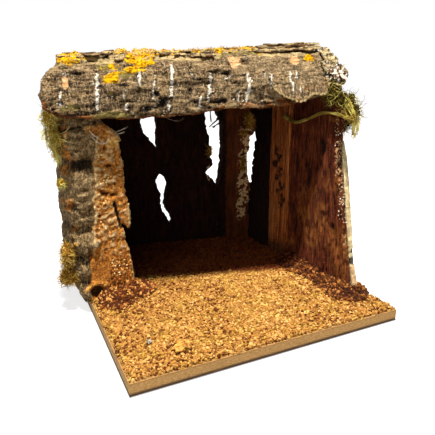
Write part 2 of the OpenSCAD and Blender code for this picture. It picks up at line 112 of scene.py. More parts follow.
def remeshed(name, nodeName, voxel, smooth):
    # A merged copy of a CAD node's mesh, remade in even small faces
    piece = pieceFrom(name, mergedCopy(nodeName))
    skin = piece.modifiers.new("skin", "REMESH")
    skin.mode = "VOXEL"
    skin.voxel_size = voxel
    skin.use_smooth_shade = True
    applied(piece)
    bm = bmesh.new()
    bm.from_mesh(piece.data)
    for _ in range(smooth):
        bmesh.ops.smooth_vert(bm, verts=bm.verts, factor=0.5, use_axis_x=True, use_axis_y=True,
                              use_axis_z=True)
    withMesh(piece, bm)
    for face in piece.data.polygons:
        face.use_smooth = True
    return piece


def sculpt(piece, rule):
    # rule gives how far a point moves out along its normal, and two sets of four marks
    mesh = piece.data
    marks = mesh.attributes.new("marks", "FLOAT_COLOR", "POINT")
    tints = mesh.attributes.new("tints", "FLOAT_COLOR", "POINT")
    places, markValues, tintValues = [], [], []
    for vertex in mesh.vertices:
        point, normal = vertex.co.copy(), vertex.normal.copy()
        push, mark, tint = rule(point, normal)
        moved = point + (push if isinstance(push, Vector) else normal * push)
        places.extend(moved)
        markValues.extend(mark)
        tintValues.extend(tint)
    mesh.vertices.foreach_set("co", places)
    marks.data.foreach_set("color", markValues)
    tints.data.foreach_set("color", tintValues)
    mesh.update()
    return piece


def finish(piece, material, slotName, *stands):
    piece.data.materials.clear()
    piece.data.materials.append(material)
    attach(piece, "root")
    if stands:
        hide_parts(*stands)
    return piece


def thicken(bm, thickness):
    # Solidify makes the rim's faces last, in another order each run, so these are sorted
    rimFrom = 2 * len(bm.faces)
    bmesh.ops.solidify(bm, geom=bm.faces, thickness=thickness)
    bm.verts.index_update()
    bm.faces.index_update()

    def steadyOrder(face):
        first, second = sorted(vertex.index for vertex in face.verts)[:2]
        return face.index if face.index < rimFrom else rimFrom + first * len(bm.verts) + second

    bm.faces.sort(key=steadyOrder)
    bmesh.ops.recalc_face_normals(bm, faces=bm.faces)


def dressed(nodeName, voxel, smooth, rule, material, slotName, name=None):
    # A CAD node's form with its relief and its finish, named as the node is but in camelCase
    first, *rest = nodeName.split("_")
    name = name or first + "".join(word.capitalize() for word in rest)
    return finish(sculpt(remeshed(name, nodeName, voxel, smooth), rule), material, slotName, nodeName)


# Small helpers for patterns

def inMm(point):
    return point.x / mm, point.y / mm, point.z / mm


def metres(x, y, z):
    return Vector((x, y, z)) * mm


def rough(point, size, octaves, seed):
    return noise.fractal(point / size + Vector((seed * 7.3, seed * 3.1, seed * 5.7)), 0.8, 2.1, octaves)


def clamp(value):
    return max(0.0, min(1.0, value))


def furrows(point, size, octaves, seed, width):
    # 1 along the lines where a pattern changes sign, 0 a little away from them
    return clamp(1 - abs(rough(point, size, octaves, seed)) / width)


def fade(value, start, end):
    # 0 at start, 1 at end, smooth between
    share = clamp((value - start) / (end - start))
    return share * share * (3 - 2 * share)


def bump(value, middle, width):
    return math.exp(-((value - middle) / width) ** 2)


def inEllipse(a, b, patch):
    # 1 in the middle of the patch, 0 at its rim and past it
    return clamp(1.35 - math.hypot((a - patch[0]) / patch[2], (b - patch[1]) / patch[3]))


def inPatches(a, b, patches):
    return max(inEllipse(a, b, patch) for patch in patches)


def toSegment(a, b, line):
    ax, ay, bx, by = line[:4]
    dx, dy = bx - ax, by - ay
    share = clamp(((a - ax) * dx + (b - ay) * dy) / (dx * dx + dy * dy))
    return math.hypot(a - ax - share * dx, b - ay - share * dy)


def roofArc(angle):
    # How far round the half round an angle lies, in mm
    return math.radians(angle) * roofRound


def fromStreak(u, arc, streak):
    return toSegment(u, arc, (streak[0], roofArc(streak[1]), streak[2], roofArc(streak[3])))


def onRoof(u, angle, radius):
    # The point at a place along the roof, an angle round it in radians, and a radius
    return roofPlace @ Vector((u * mm, -radius * mm * math.cos(angle), radius * mm * math.sin(angle)))


def outwards(local, normal):
    # How squarely a face looks away from the roof's axis
    return (roofInverse.to_3x3() @ normal).dot(Vector((0, local.y, local.z)).normalized())


def edgeAngle(u, edge):
    # The angle that a listed edge has at the place u along the roof
    for (u0, a0), (u1, a1) in zip(edge, edge[1:]):
        if u <= u1:
            return a0 + (a1 - a0) * clamp((u - u0) / (u1 - u0))
    return edge[-1][1]


def nearLine(distance, halfWidth):
    # A mask that is 0.5 at a line's rim and falls off slowly, so that the shader can draw a crisp one
    return clamp(0.5 + (halfWidth - distance) / 4)


plainMarks = (0, 0, 0, 0), (0, 0, 0, 0.5)  # Nothing on it, and middle relief


def paint(code):
    # A screen colour written in hexadecimal, as linear light
    parts = [int(code[i:i + 2], 16) / 255 for i in (0, 2, 4)]
    return tuple(p / 12.92 if p <= 0.04045 else ((p + 0.055) / 1.055) ** 2.4 for p in parts) + (1.0,)


# Small helpers for node trees

def node(tree, kind, inputs=None, **settings):
    made = tree.nodes.new(kind)
    for key, value in settings.items():
        setattr(made, key, value)
    for key, value in (inputs or {}).items():
        if isinstance(value, bpy.types.NodeSocket):
            tree.links.new(value, made.inputs[key])
        else:
            made.inputs[key].default_value = value
    return made


def mixed(tree, factor, a, b, mode="MIX"):
    return node(tree, "ShaderNodeMix", {0: factor, 6: a, 7: b}, data_type="RGBA",
                blend_type=mode).outputs[2]


def sums(tree, operation, a, b=0.0):
    return node(tree, "ShaderNodeMath", {0: a, 1: b}, operation=operation).outputs[0]


def product(tree, a, b):
    return sums(tree, "MULTIPLY", a, b)


def spread(tree, value, low, high, toLow=0.0, toHigh=1.0):
    return node(tree, "ShaderNodeMapRange", {0: value, 1: low, 2: high, 3: toLow, 4: toHigh},
                interpolation_type="SMOOTHSTEP").outputs[0]


def noisy(tree, vector, scale, detail=3.0, roughness=0.55, distortion=0.0):
    return node(tree, "ShaderNodeTexNoise", {"Vector": vector, "Scale": scale, "Detail": detail,
                                             "Roughness": roughness,
                                             "Distortion": distortion}).outputs["Fac"]


def newMaterial(name):
    material = bpy.data.materials.new(name)
    material.use_nodes = True
    tree = material.node_tree
    place = node(tree, "ShaderNodeTexCoord").outputs["Object"]
    return material, tree, tree.nodes["Principled BSDF"], place


def bumpy(tree, shader, height, strength, distance):
    bumped = node(tree, "ShaderNodeBump", {"Height": height, "Strength": strength, "Distance": distance})
    tree.links.new(bumped.outputs[0], shader.inputs["Normal"])


def newGroup(name, inputs, outputs):
    group = bpy.data.node_groups.new(name, "ShaderNodeTree")
    for socketName, kind, value in inputs:
        socket = group.interface.new_socket(socketName, in_out="INPUT", socket_type=kind)
        if value is not None:
            socket.default_value = value
    for socketName, kind in outputs:
        group.interface.new_socket(socketName, in_out="OUTPUT", socket_type=kind)
    return group, group.nodes.new("NodeGroupInput").outputs, group.nodes.new("NodeGroupOutput").inputs


def placed(tree, group, inputs):
    return node(tree, "ShaderNodeGroup", inputs, node_tree=group).outputs


number, vectorKind = "NodeSocketFloat", "NodeSocketVector"

# Bark grain: long cracks, ridges, blotches and fine grit, along the vector's X
barkGrain, given, out = newGroup(
    "barkGrain",
    [("Vector", vectorKind, None), ("Scale", number, 400.0), ("Stretch", number, 0.2)],
    [("Crack", number), ("Tone", number), ("Blotch", number), ("Speck", number), ("Height", number)])
along = node(barkGrain, "ShaderNodeCombineXYZ", {0: given["Stretch"], 1: 1.0, 2: 1.0}).outputs[0]
drawn = node(barkGrain, "ShaderNodeVectorMath", {0: given["Vector"], 1: along},
             operation="MULTIPLY").outputs[0]
crossWise = node(barkGrain, "ShaderNodeVectorMath", {0: given["Vector"], 1: (1.0, 0.35, 0.35)},
                 operation="MULTIPLY").outputs[0]
lines = noisy(barkGrain, drawn, given["Scale"], 4.0, 0.6, 0.6)
closeness = sums(barkGrain, "ABSOLUTE", sums(barkGrain, "SUBTRACT", lines, 0.5))
crack = spread(barkGrain, closeness, 0.0, 0.035, 1.0, 0.0)
tone = noisy(barkGrain, drawn, product(barkGrain, given["Scale"], 0.8), 7.0, 0.75)
blotch = noisy(barkGrain, given["Vector"], product(barkGrain, given["Scale"], 0.16), 4.0, 0.6)
fine = noisy(barkGrain, given["Vector"], product(barkGrain, given["Scale"], 2.4), 3.0, 0.7)
crossLines = noisy(barkGrain, crossWise, product(barkGrain, given["Scale"], 2.2), 2.0, 0.6)
toneMix = sums(barkGrain, "ADD", product(barkGrain, tone, 0.75), product(barkGrain, fine, 0.25))
specks = sums(barkGrain, "ADD", product(barkGrain, crossLines, 0.5), product(barkGrain, fine, 0.5))
barkGrain.links.new(crack, out["Crack"])
barkGrain.links.new(spread(barkGrain, toneMix, 0.32, 0.68), out["Tone"])
barkGrain.links.new(spread(barkGrain, blotch, 0.38, 0.62), out["Blotch"])
barkGrain.links.new(spread(barkGrain, specks, 0.38, 0.62), out["Speck"])
barkGrain.links.new(
    sums(barkGrain, "SUBTRACT", toneMix, product(barkGrain, crack, 0.35)), out["Height"])

# A painted mask gets a ragged, crisp rim
raggedMask, given, out = newGroup(
    "raggedMask",
    [("Mask", number, 0.0), ("Vector", vectorKind, None), ("Scale", number, 500.0), ("Ragged", number, 0.6),
     ("Soft", number, 0.12)],
    [("Mask", number)])
grit = sums(raggedMask, "SUBTRACT", noisy(raggedMask, given["Vector"], given["Scale"], 4.0, 0.65), 0.5)
shifted = sums(raggedMask, "ADD", given["Mask"], product(raggedMask, grit, given["Ragged"]))
low = sums(raggedMask, "SUBTRACT", 0.5, given["Soft"])
high = sums(raggedMask, "ADD", 0.5, given["Soft"])
inside = node(raggedMask, "ShaderNodeMapRange", {0: shifted, 1: low, 2: high},
              interpolation_type="SMOOTHSTEP")
hasMask = spread(raggedMask, given["Mask"], 0.02, 0.12)
raggedMask.links.new(product(raggedMask, inside.outputs[0], hasMask), out["Mask"])
print("shared node groups ready")


growthAndShadeTones = {"green": ("5a4c20", "a3924a"), "lichen": ("d09000", "fcc000"), "white": "fff1d8",
               "dark": "140a05"}


def barkMaterial(name, look):
    # Bark outside, bare wood inside, and what the marks on the mesh lay over them
    material, tree, shader, place = newMaterial(name)
    turned = node(tree, "ShaderNodeMapping", {"Vector": place, "Rotation": look["turned"]}).outputs[0]
    marks = node(tree, "ShaderNodeAttribute", attribute_name="marks")
    tints = node(tree, "ShaderNodeAttribute", attribute_name="tints")
    markParts = node(tree, "ShaderNodeSeparateColor", {0: marks.outputs["Color"]}).outputs
    tintParts = node(tree, "ShaderNodeSeparateColor", {0: tints.outputs["Color"]}).outputs
    relief = tints.outputs["Alpha"]
    grain = placed(tree, barkGrain, {"Vector": turned, "Scale": look["scale"], "Stretch": look["stretch"]})
    bareGrain = placed(tree, barkGrain, {
        "Vector": turned, "Scale": look.get("bareScale", 520.0), "Stretch": look.get("bareStretch", 0.1)})

    bark = mixed(tree, grain["Tone"], paint(look["low"]), paint(look["high"]))
    bark = mixed(tree, product(tree, grain["Blotch"], look.get("blotch", 0.55)), bark,
                 paint(look["second"]))
    bark = mixed(tree, product(tree, spread(tree, relief, 0.25, 0.8, 0.0, 1.0), 0.45), bark,
                 paint(look["crest"]))
    deep = sums(tree, "MAXIMUM", product(tree, grain["Crack"], 0.8),
                spread(tree, relief, 0.05, 0.4, 0.9, 0.0))
    bark = mixed(tree, deep, bark, paint(look["crack"]))
    bark = mixed(tree, spread(tree, grain["Speck"], 0.0, 0.5, look.get("specks", 0.75), 0.0), bark,
                 paint(look["crack"]))
    bark = mixed(tree, spread(tree, grain["Speck"], 0.6, 1.0, 0.0, 0.6), bark, paint(look["crest"]))

    bare = mixed(tree, bareGrain["Tone"], paint(look["bareLow"]), paint(look["bareHigh"]))
    bare = mixed(tree, product(tree, bareGrain["Blotch"], 0.6), bare, paint(look["bareSecond"]))
    bare = mixed(tree, product(tree, bareGrain["Crack"], 0.7), bare, paint(look["bareCrack"]))
    bare = mixed(tree, spread(tree, relief, 0.08, 0.42, 0.85, 0.0), bare, paint(look["bareCrack"]))
    bare = mixed(tree, spread(tree, bareGrain["Speck"], 0.0, 0.5, look.get("bareSpecks", 0.5), 0.0), bare,
                 paint(look["bareCrack"]))
    bare = mixed(tree, spread(tree, relief, 0.62, 0.95, 0.0, 0.7), bare,
                 paint(look.get("bareCrest", look["bareHigh"])))
    bareMask = placed(tree, raggedMask, {"Mask": markParts[0], "Vector": place, "Scale": 320.0,
                                         "Ragged": 0.5})
    colour = mixed(tree, bareMask["Mask"], bark, bare)

    green = placed(tree, raggedMask, {"Mask": tintParts[1], "Vector": place, "Scale": 420.0, "Ragged": 0.9})
    greenTone = mixed(tree, grain["Tone"], *(paint(tone) for tone in growthAndShadeTones["green"]))
    colour = mixed(tree, product(tree, green["Mask"], 0.8), colour, greenTone)
    peach = placed(tree, raggedMask, {"Mask": tintParts[0], "Vector": place,
                                      "Scale": look.get("peachScale", 260.0), "Ragged": 0.5,
                                      "Soft": look.get("peachSoft", 0.12)})
    peachTone = mixed(tree, bareGrain["Tone"], paint(look.get("peachLow", "b9743f")),
                      paint(look.get("peachHigh", "edb98a")))
    colour = mixed(tree, peach["Mask"], colour, peachTone)
    lichen = placed(tree, raggedMask, {"Mask": markParts[1], "Vector": place, "Scale": 330.0,
                                       "Ragged": 0.9})
    lichenTone = mixed(tree, grain["Tone"], *(paint(tone) for tone in growthAndShadeTones["lichen"]))
    colour = mixed(tree, lichen["Mask"], colour, lichenTone)
    white = placed(tree, raggedMask, {"Mask": markParts[2], "Vector": place, "Scale": 950.0, "Ragged": 0.8,
                                      "Soft": 0.08})
    colour = mixed(tree, white["Mask"], colour, paint(growthAndShadeTones["white"]))
    # The dark tone: the bark's own dark spots, pits and knots, and painted shade on inner faces
    darkMask = placed(tree, raggedMask, {
        "Mask": marks.outputs["Alpha"], "Vector": place, "Scale": 420.0, "Ragged": 0.7, "Soft": 0.3})
    colour = mixed(tree, product(tree, darkMask["Mask"], 0.9), colour, paint(growthAndShadeTones["dark"]))
    pale = placed(tree, raggedMask, {"Mask": tintParts[2], "Vector": place,
                                     "Scale": look.get("paleScale", 500.0), "Ragged": 0.8})
    colour = mixed(tree, product(tree, pale["Mask"], 0.85), colour, paint(look.get("paleTone", "cdb078")))
    tree.links.new(colour, shader.inputs["Base Color"])

    height = mixed(tree, bareMask["Mask"], grain["Height"], bareGrain["Height"])
    height = sums(tree, "ADD", node(tree, "ShaderNodeRGBToBW", {0: height}).outputs[0],
                  product(tree, lichen["Mask"], 0.3))
    height = sums(tree, "ADD", height, product(tree, white["Mask"], 0.5))
    bumpy(tree, shader, height, 1.0, look.get("depth", 0.0030))
    dullness = spread(tree, grain["Tone"], 0.0, 1.0, 0.92, 0.7)
    dullness = sums(tree, "SUBTRACT", dullness, product(tree, white["Mask"], 0.35))
    tree.links.new(dullness, shader.inputs["Roughness"])
    shader.inputs["Specular IOR Level"].default_value = 0.12
    return material


upright = {"turned": (0.0, math.radians(90), 0.0), "scale": 430.0, "stretch": 0.2, "specks": 0.45,
           "blotch": 0.7}
greyLook = {"turned": (0, 0, turn), "scale": 420.0, "stretch": 0.18, "low": "32231a", "high": "9f7c4e",
            "second": "503b26", "crest": "ccad7e", "crack": "160d07", "bareLow": "45210c",
            "bareHigh": "b06c32", "bareSecond": "6f3a16", "bareCrack": "180904"}
roofBark = barkMaterial("roofBark", dict(greyLook, peachLow="dc9450", peachHigh="fbd29c", specks=0.42,
                                         blotch=0.75))
leftBark = barkMaterial("leftBark", dict(
    greyLook, turned=(0, 0, math.radians(50)), scale=400.0, stretch=0.3, low="38261a", high="a4804c",
    crest="cfb07c", second="6a4c2c", blotch=0.7, bareLow="a05218", bareHigh="ffb04c", bareSecond="d68834",
    bareCrack="4c160c", bareCrest="ffe0a4", bareScale=430.0, bareStretch=0.7, specks=0.4, bareSpecks=0.35,
    peachLow="e89434", peachHigh="ffd070", paleTone="ffd888"))
rightBark = barkMaterial("rightBark", dict(
    greyLook, **upright, bareLow="320f07", bareHigh="a8542c",
    bareSecond="5e2313", bareCrack="0e0403", bareScale=650.0, bareStretch=0.1, peachLow="6a3210",
    peachHigh="c07a38", bareSpecks=0.55, peachScale=420.0, peachSoft=0.45, paleTone="eebc80"))
midBark = barkMaterial("midBark", dict(
    greyLook, **upright, bareLow="8e3e14", bareHigh="f09650",
    bareSecond="bc6228", bareCrack="2c0e05", bareScale=420.0, bareStretch=0.06, bareSpecks=0.35))
# darkBark and backBark: bare tones darker than the wood's own dark brown, painted shade inside the walls;
# backBark's pale tone is raised for its tan patches, a painted highlight
darkBark = barkMaterial("darkBark", dict(
    greyLook, **upright, bareLow="0e0503", bareHigh="3a1c10",
    bareSecond="1c0c07", bareCrack="040202", bareScale=420.0, bareStretch=0.1))
backBark = barkMaterial("backBark", dict(
    greyLook, **upright, bareLow="0f0604", bareHigh="4a2614",
    bareSecond="210e08", bareCrack="050202", bareScale=380.0, bareStretch=0.15, paleTone="ffd49a",
    paleScale=700.0, peachLow="40200f", peachHigh="8e4a22"))
paleWood = barkMaterial("paleWood", dict(
    greyLook, turned=upright["turned"], scale=600.0, stretch=0.05, low="c8a05c", high="fae0a4",
    second="e6c27c", crest="fdedc0", crack="8a5c30", bareLow="bc9656", bareHigh="f6dca2",
    bareSecond="dfba78", bareCrack="7c5428", bareScale=600.0, bareStretch=0.05, depth=0.0006, specks=0.2))
print("bark materials ready")

# Roof: the half round of bark. Places are mm along it and degrees round it from the front
roofLook = {
    "voxel": 0.00105, "rearVoxel": 0.0015,
    # Radii past which a face is the bark's outside, or its torn rim
    "outerFrom": 0.0362, "rimFrom": 0.0345,
    # Middle, and half sizes
    "lichen": [(-91, 72, 12, 21), (-43, 64, 12, 21), (41, 77, 9, 10), (-51.5, 45, 6, 6),
               (-66, 33.5, 6.5, 6.5), (-55, 80, 7, 6), (84, 50, 5, 7), (-84, 118, 12, 12),
               (40, 128, 16, 10)],
    "mottled": [(-66, 50, 9, 5), (-50, 43, 8, 5), (-59, 38, 10, 5), (46, 66, 9, 5), (-20, 78, 24, 9),
                (20, 74, 30, 12)],
    "green": [(24, 70, 24, 11), (0, 78, 20, 8), (-70, 62, 14, 6), (60, 82, 18, 10), (-20, 120, 40, 14),
              (-66, 0, 18, 5), (-95, 10, 8, 5)],
    "peach": [(-95.5, 36, 2.8, 9), (24, 49, 6, 10), (72, 48, 3.8, 8)],
    "hollows": [(-33.4, 9.1, 4.6, 5.4), (-37.8, 17.6, 3.2, 3.0), (-44, 4.0, 7.5, 2.4), (-13.3, 21, 1.3, 6),
                (15.5, 35.5, 3.2, 1.8), (20, 26, 3, 1.8), (-90.5, 58, 7, 2.2), (-89, 45, 6, 1.6),
                (7, 6, 6, 2.4)],
    # White streaks: from and to, then half width in mm
    "streaks": [(-98.8, 27.6, -100.8, 9.3, 0.5), (-74.2, 41.6, -77.8, 6.1, 1.1),
                (-58.5, 22.9, -59.5, 13.5, 0.6), (-57.9, 8.7, -58.3, 4.1, 1.1),
                (-46.0, 40.1, -48.4, 24.0, 1.0), (-36.8, 30.2, -40.0, 12.6, 0.65),
                (-40.0, 12.6, -34.5, 7.0, 0.5), (-23.1, 44.4, -27.4, 14.3, 1.15),
                (-29.1, 11.6, -29.9, 1.3, 0.9), (-6.4, 11.4, -8.6, 0.1, 0.7), (3.3, 34.4, -1.0, 6.1, 1.15),
                (21.8, 12.8, 21.3, 5.0, 0.75), (31.8, 31.9, 27.3, 3.4, 1.1), (43.5, 32.1, 42.3, 24.4, 0.6),
                (48.9, 31.7, 47.2, 19.7, 0.8), (65.0, 32.7, 63.3, 21.5, 0.8), (69.8, 32.3, 68.5, 24.3, 0.8),
                (64.7, 20.3, 63.8, 11.1, 1.0), (69.7, 13.7, 69.4, 9.6, 0.8), (96.5, 43.2, 92.4, 29.2, 0.9),
                (12.8, 29.0, 19.1, 33.0, 0.6), (-10.5, 34, -9.5, 32, 0.8), (-96, 46, -94, 43, 0.6),
                (-90, 46, -89, 43, 0.6), (-47, 2, -38, 7, 0.4)],
    # The lip's lower edge
    "lip": [(-110, 15), (-102, 1), (-76, -2), (-57, -6), (-36, -6), (-15, -7), (0, -5), (14, 0), (27, 0.5),
            (40, -2), (50, 2), (62, 1), (100, 14)],
}


def roofRule(point, normal):
    local = roofInverse @ point
    u, radius = local.x / mm, math.hypot(local.y, local.z)
    angle = math.degrees(math.atan2(local.z, -local.y))
    arc = roofArc(angle)
    flat = metres(u, arc, 3.0)
    facing = roofInverse.to_3x3() @ normal
    outward = (facing.y * local.y + facing.z * local.z) / max(radius, 1e-6)
    outer = radius > roofLook["outerFrom"] and outward > 0.2
    endCap = abs(facing.x) > 0.75
    stretched = Vector((flat.x * 0.2, flat.y, flat.z))
    if not outer:
        fibres = rough(Vector((local.x * 0.15, local.y, local.z)), 0.0022, 3, 4)
        ragged = 0.0012 * rough(point, 0.005, 3, 9) if endCap or radius > roofLook["rimFrom"] else 0.0
        relief = clamp(0.55 + 0.4 * fibres)
        rim = 1.0 if radius > roofLook["rimFrom"] and outward > -0.75 else 0.0
        # The underside takes painted shade, except along the torn rim
        return (0.0004 * fibres + ragged, (1.0, 0.0, 0.0, 0.0 if rim else 0.5),
                (0.35 * rim, 0.0, 0.35 * rim * clamp(rough(flat, 0.006, 2, 6) + 0.5), relief))
    swell = rough(flat, 0.030, 2, 1)
    ridges = rough(stretched, 0.0020, 3, 2)
    lumps = rough(flat, 0.0065, 3, 3)
    fine = rough(flat, 0.0024, 2, 7)
    cut = furrows(Vector((flat.x * 0.14, flat.y, 0.0)), 0.0042, 2, 5, 0.10)
    topShare = fade(angle, 42, 66)
    rightShare = fade(u, 20, 80)
    plateNoise = rough(Vector((flat.x * 0.45, flat.y, 0.0)), 0.011, 2, 8) * 2.2
    plates = (math.floor(plateNoise) + fade(plateNoise - math.floor(plateNoise), 0.7, 1.0)) * 0.0006
    push = 0.0004 * swell + 0.0007 * ridges + 0.0008 * lumps + 0.0004 * fine - 0.0011 * cut
    push += plates * (0.3 + 0.7 * topShare * (0.4 + 0.6 * rightShare))
    hollow = inPatches(u, angle, roofLook["hollows"])
    hollow = clamp(hollow * (0.75 + 1.4 * rough(flat, 0.004, 2, 12)))
    push -= 0.0022 * hollow
    white = halo = 0.0
    wobble = 0.8 * rough(flat, 0.0045, 2, 14)
    thin = 0.8 + 0.6 * rough(flat, 0.0035, 2, 15)
    for line in roofLook["streaks"]:
        if abs(u - line[0]) < 12:
            distance = fromStreak(u + wobble, arc, line)
            white = max(white, nearLine(distance, 1.05 * line[4] * thin))
            halo = max(halo, nearLine(distance, 2.4 * line[4] + 1.0))
    if u > 89 and 10 < angle < 46:
        white = max(white, clamp(0.36 + 0.6 * rough(flat, 0.004, 3, 16)) * fade(u, 89, 94))
    white = max(white, clamp(1.9 * rough(flat, 0.0024, 2, 34) - 0.5) * (0.62 + 0.38 * halo))
    push += 0.0004 * fade(white, 0.4, 0.6)
    speckle = 0.5 * rough(flat, 0.0045, 3, 29) + 0.35 * rough(flat, 0.012, 2, 30)
    patchShare = inPatches(u, angle, roofLook["lichen"])
    lichen = clamp(patchShare * 1.15 + 0.8 * speckle - 0.12) * fade(patchShare, 0.05, 0.35)
    mottledShare = inPatches(u, angle, roofLook["mottled"])
    lichen = max(lichen, clamp(0.62 * mottledShare + 1.1 * speckle) * fade(mottledShare, 0.1, 0.4))
    green = clamp(inPatches(u, angle, roofLook["green"]) * 0.7 + 0.7 * speckle)
    green = max(green, clamp(0.75 * mottledShare - 1.0 * speckle))
    peach = clamp(inPatches(u, angle, roofLook["peach"]) * 1.1 + 0.6 * speckle - 0.1)
    push += 0.0006 * fade(lichen, 0.3, 0.8) - 0.0007 * fade(peach, 0.4, 0.7)
    push += 0.0018 * fade(lichen, 0.4, 0.8) * fade(angle, 66, 84) * clamp(0.8 + lumps)
    fromLip = angle - edgeAngle(u, roofLook["lip"])
    rimRed = (1 - fade(fromLip, 2.0, 5.0)) * clamp(0.75 + 0.9 * lumps) * (1 - fade(u, 60, 70))
    orangeRim = (1 - fade(fromLip, 1.5, 4.5)) * max(bump(u, 30, 12),
                                                    0.8 * bump(u, -24, 12)) * clamp(0.9 + lumps)
    creamRim = (1 - fade(fromLip, 2.0, 5.0)) * bump(u, 15, 6)
    relief = clamp(0.52 + 0.30 * ridges + 0.22 * lumps + 0.12 * fine - 0.45 * cut - 0.5 * hollow
                   + 0.26 * fade(u, 20, 70) - 0.08 * fade(-u, 50, 90))
    dark = clamp(hollow * 1.3) + 0.55 * clamp(rough(flat, 0.010, 3, 17) - 0.25)
    dark = max(dark, halo * clamp(1.9 * rough(flat, 0.0028, 2, 13)),
               0.62 * clamp(1.6 * rough(stretched, 0.0036, 2, 11) - 0.35))
    layers = rough(Vector((flat.x * 0.16, flat.y, 0.0)), 0.0034, 3, 18)
    pale = max(topShare * clamp(0.42 + 1.1 * layers), 0.25 * clamp(rough(flat, 0.012, 2, 18)), creamRim)
    push += 0.0006 * topShare * layers
    if endCap:
        push += 0.0015 * rough(point, 0.004, 3, 19)
    return (push, (clamp(rimRed), lichen, white, clamp(dark)),
            (clamp(max(peach, 0.85 * orangeRim)), green, clamp(pale), relief))


roofFront = dressed("roof_front_bark", roofLook["voxel"], 1, roofRule, roofBark, "grey_bark")
print("front of the roof done")


def rearRule(point, normal):
    local = roofInverse @ point
    facing = roofInverse.to_3x3() @ normal
    flat = Vector((local.x, local.y, 0.004))
    stretched = Vector((local.x * 0.2, local.y, 0.0))
    if facing.z < 0.3:
        fibres = rough(Vector((local.x * 0.12, local.y, local.z)), 0.0025, 3, 24)
        # Faces that don't look upwards take a little painted shade
        return (0.0005 * fibres + 0.0009 * rough(point, 0.006, 3, 25), (1.0, 0, 0, 0.2),
                (0, 0, 0, clamp(0.55 + 0.4 * fibres)))
    ridges, lumps = rough(stretched, 0.0025, 3, 21), rough(flat, 0.008, 3, 22)
    cut = furrows(Vector((local.x * 0.12, local.y, 0.0)), 0.0055, 2, 23, 0.10)
    broad = rough(Vector((local.x * 0.3, local.y, 0.0)), 0.011, 3, 19)
    swell = rough(flat, 0.03, 2, 20)
    push = 0.0008 * ridges + 0.0013 * lumps - 0.0016 * cut + 0.0015 * swell + 0.0012 * broad
    green = clamp(rough(flat, 0.02, 3, 26) * 1.4)
    lichen = clamp(rough(flat, 0.016, 3, 27) * 1.6 - 0.25)
    return (push, (0.0, lichen, 0.0, 0.4 * clamp(rough(flat, 0.012, 3, 28))),
            (0.0, green, 0.4 * clamp(broad), clamp(0.56 + 0.3 * ridges + 0.2 * lumps + 0.2 * broad
                                                   - 0.5 * cut)))


dressed("roof_rear_bark", roofLook["rearVoxel"], 1, rearRule, roofBark, "grey_bark")
print("rear of the roof done")

# Left wall: bulging bands of grey bark, and the orange-brown broken end. Places are x and z in mm
leftLook = {
    "voxel": 0.00100, "rearVoxel": 0.0015,
    # Height up the wall, how far in or out, and how far it reaches
    "recesses": [(113.5, 3.8, 4.4), (66, 2.8, 3.6), (43, 2.0, 4.5), (25, 1.5, 4)],
    "swells": [(130, 2.0, 9), (98, 1.4, 8), (82, 1.6, 7), (55, 1.2, 6)],
    "pits": [(-82.2, 123.7, 1.7, 1.6), (-80.2, 111, 2.9, 1.8), (-84, 91, 3.4, 2.0), (-78, 90, 3.6, 1.7),
             (-86.5, 93, 1.4, 1.0), (-76.5, 98, 1.2, 1.0), (-85, 107, 1.2, 0.9), (-89, 75, 1.0, 1.6)],
    "slit": (-78.0, 84.0, -74.2, 64.5),
    # Ridges of pale fibre across the strip: from and to
    "ridges": [(-90.5, 84, -79, 85), (-89, 80, -80, 82), (-88, 72, -79, 78), (-91, 62, -80, 70),
               (-90, 112, -83, 116), (-84, 119, -78, 117), (-90, 104, -84, 106), (-88, 99, -79, 101),
               (-92, 55, -77, 60)],
    # Middle and radius
    "knot": (-95.2, 16.7, 7.0),
    "hole": (-106.4, 83.0, 2.4),
    "grey": (-93.6, 54.1, 3.6),
    "pink": (-105.3, 55.2, 2.4),
    "rings": (-101, 80, 15),
    "arcs": (-100.5, 129, 10.5),
}


def fromMiddle(x, z, spot):
    # The distance from a round spot's middle, in its own radius
    return math.hypot(x - spot[0], z - spot[1]) / spot[2]


def fromKnot(x, z):
    # The knot is a little wider than it is high
    knotX, knotZ, radius = leftLook["knot"]
    return math.hypot(x - knotX, (z - knotZ) * 1.15), knotZ, radius


def leftSeam(x, z):
    # Where the bark ends and the broken wood begins
    seam = -88.5 - (127.8 - z) * 0.1 + 1.2 * rough(Vector((0, 0, z * mm)), 0.007, 3, 31)  # It leans
    seam -= 1.6 * bump(z, 112, 4) + 1.5 * bump(z, 87, 4)
    return seam - 7.5 * fade(z, 131.5, 134.5) + 16 * fade(z, 139, 142)


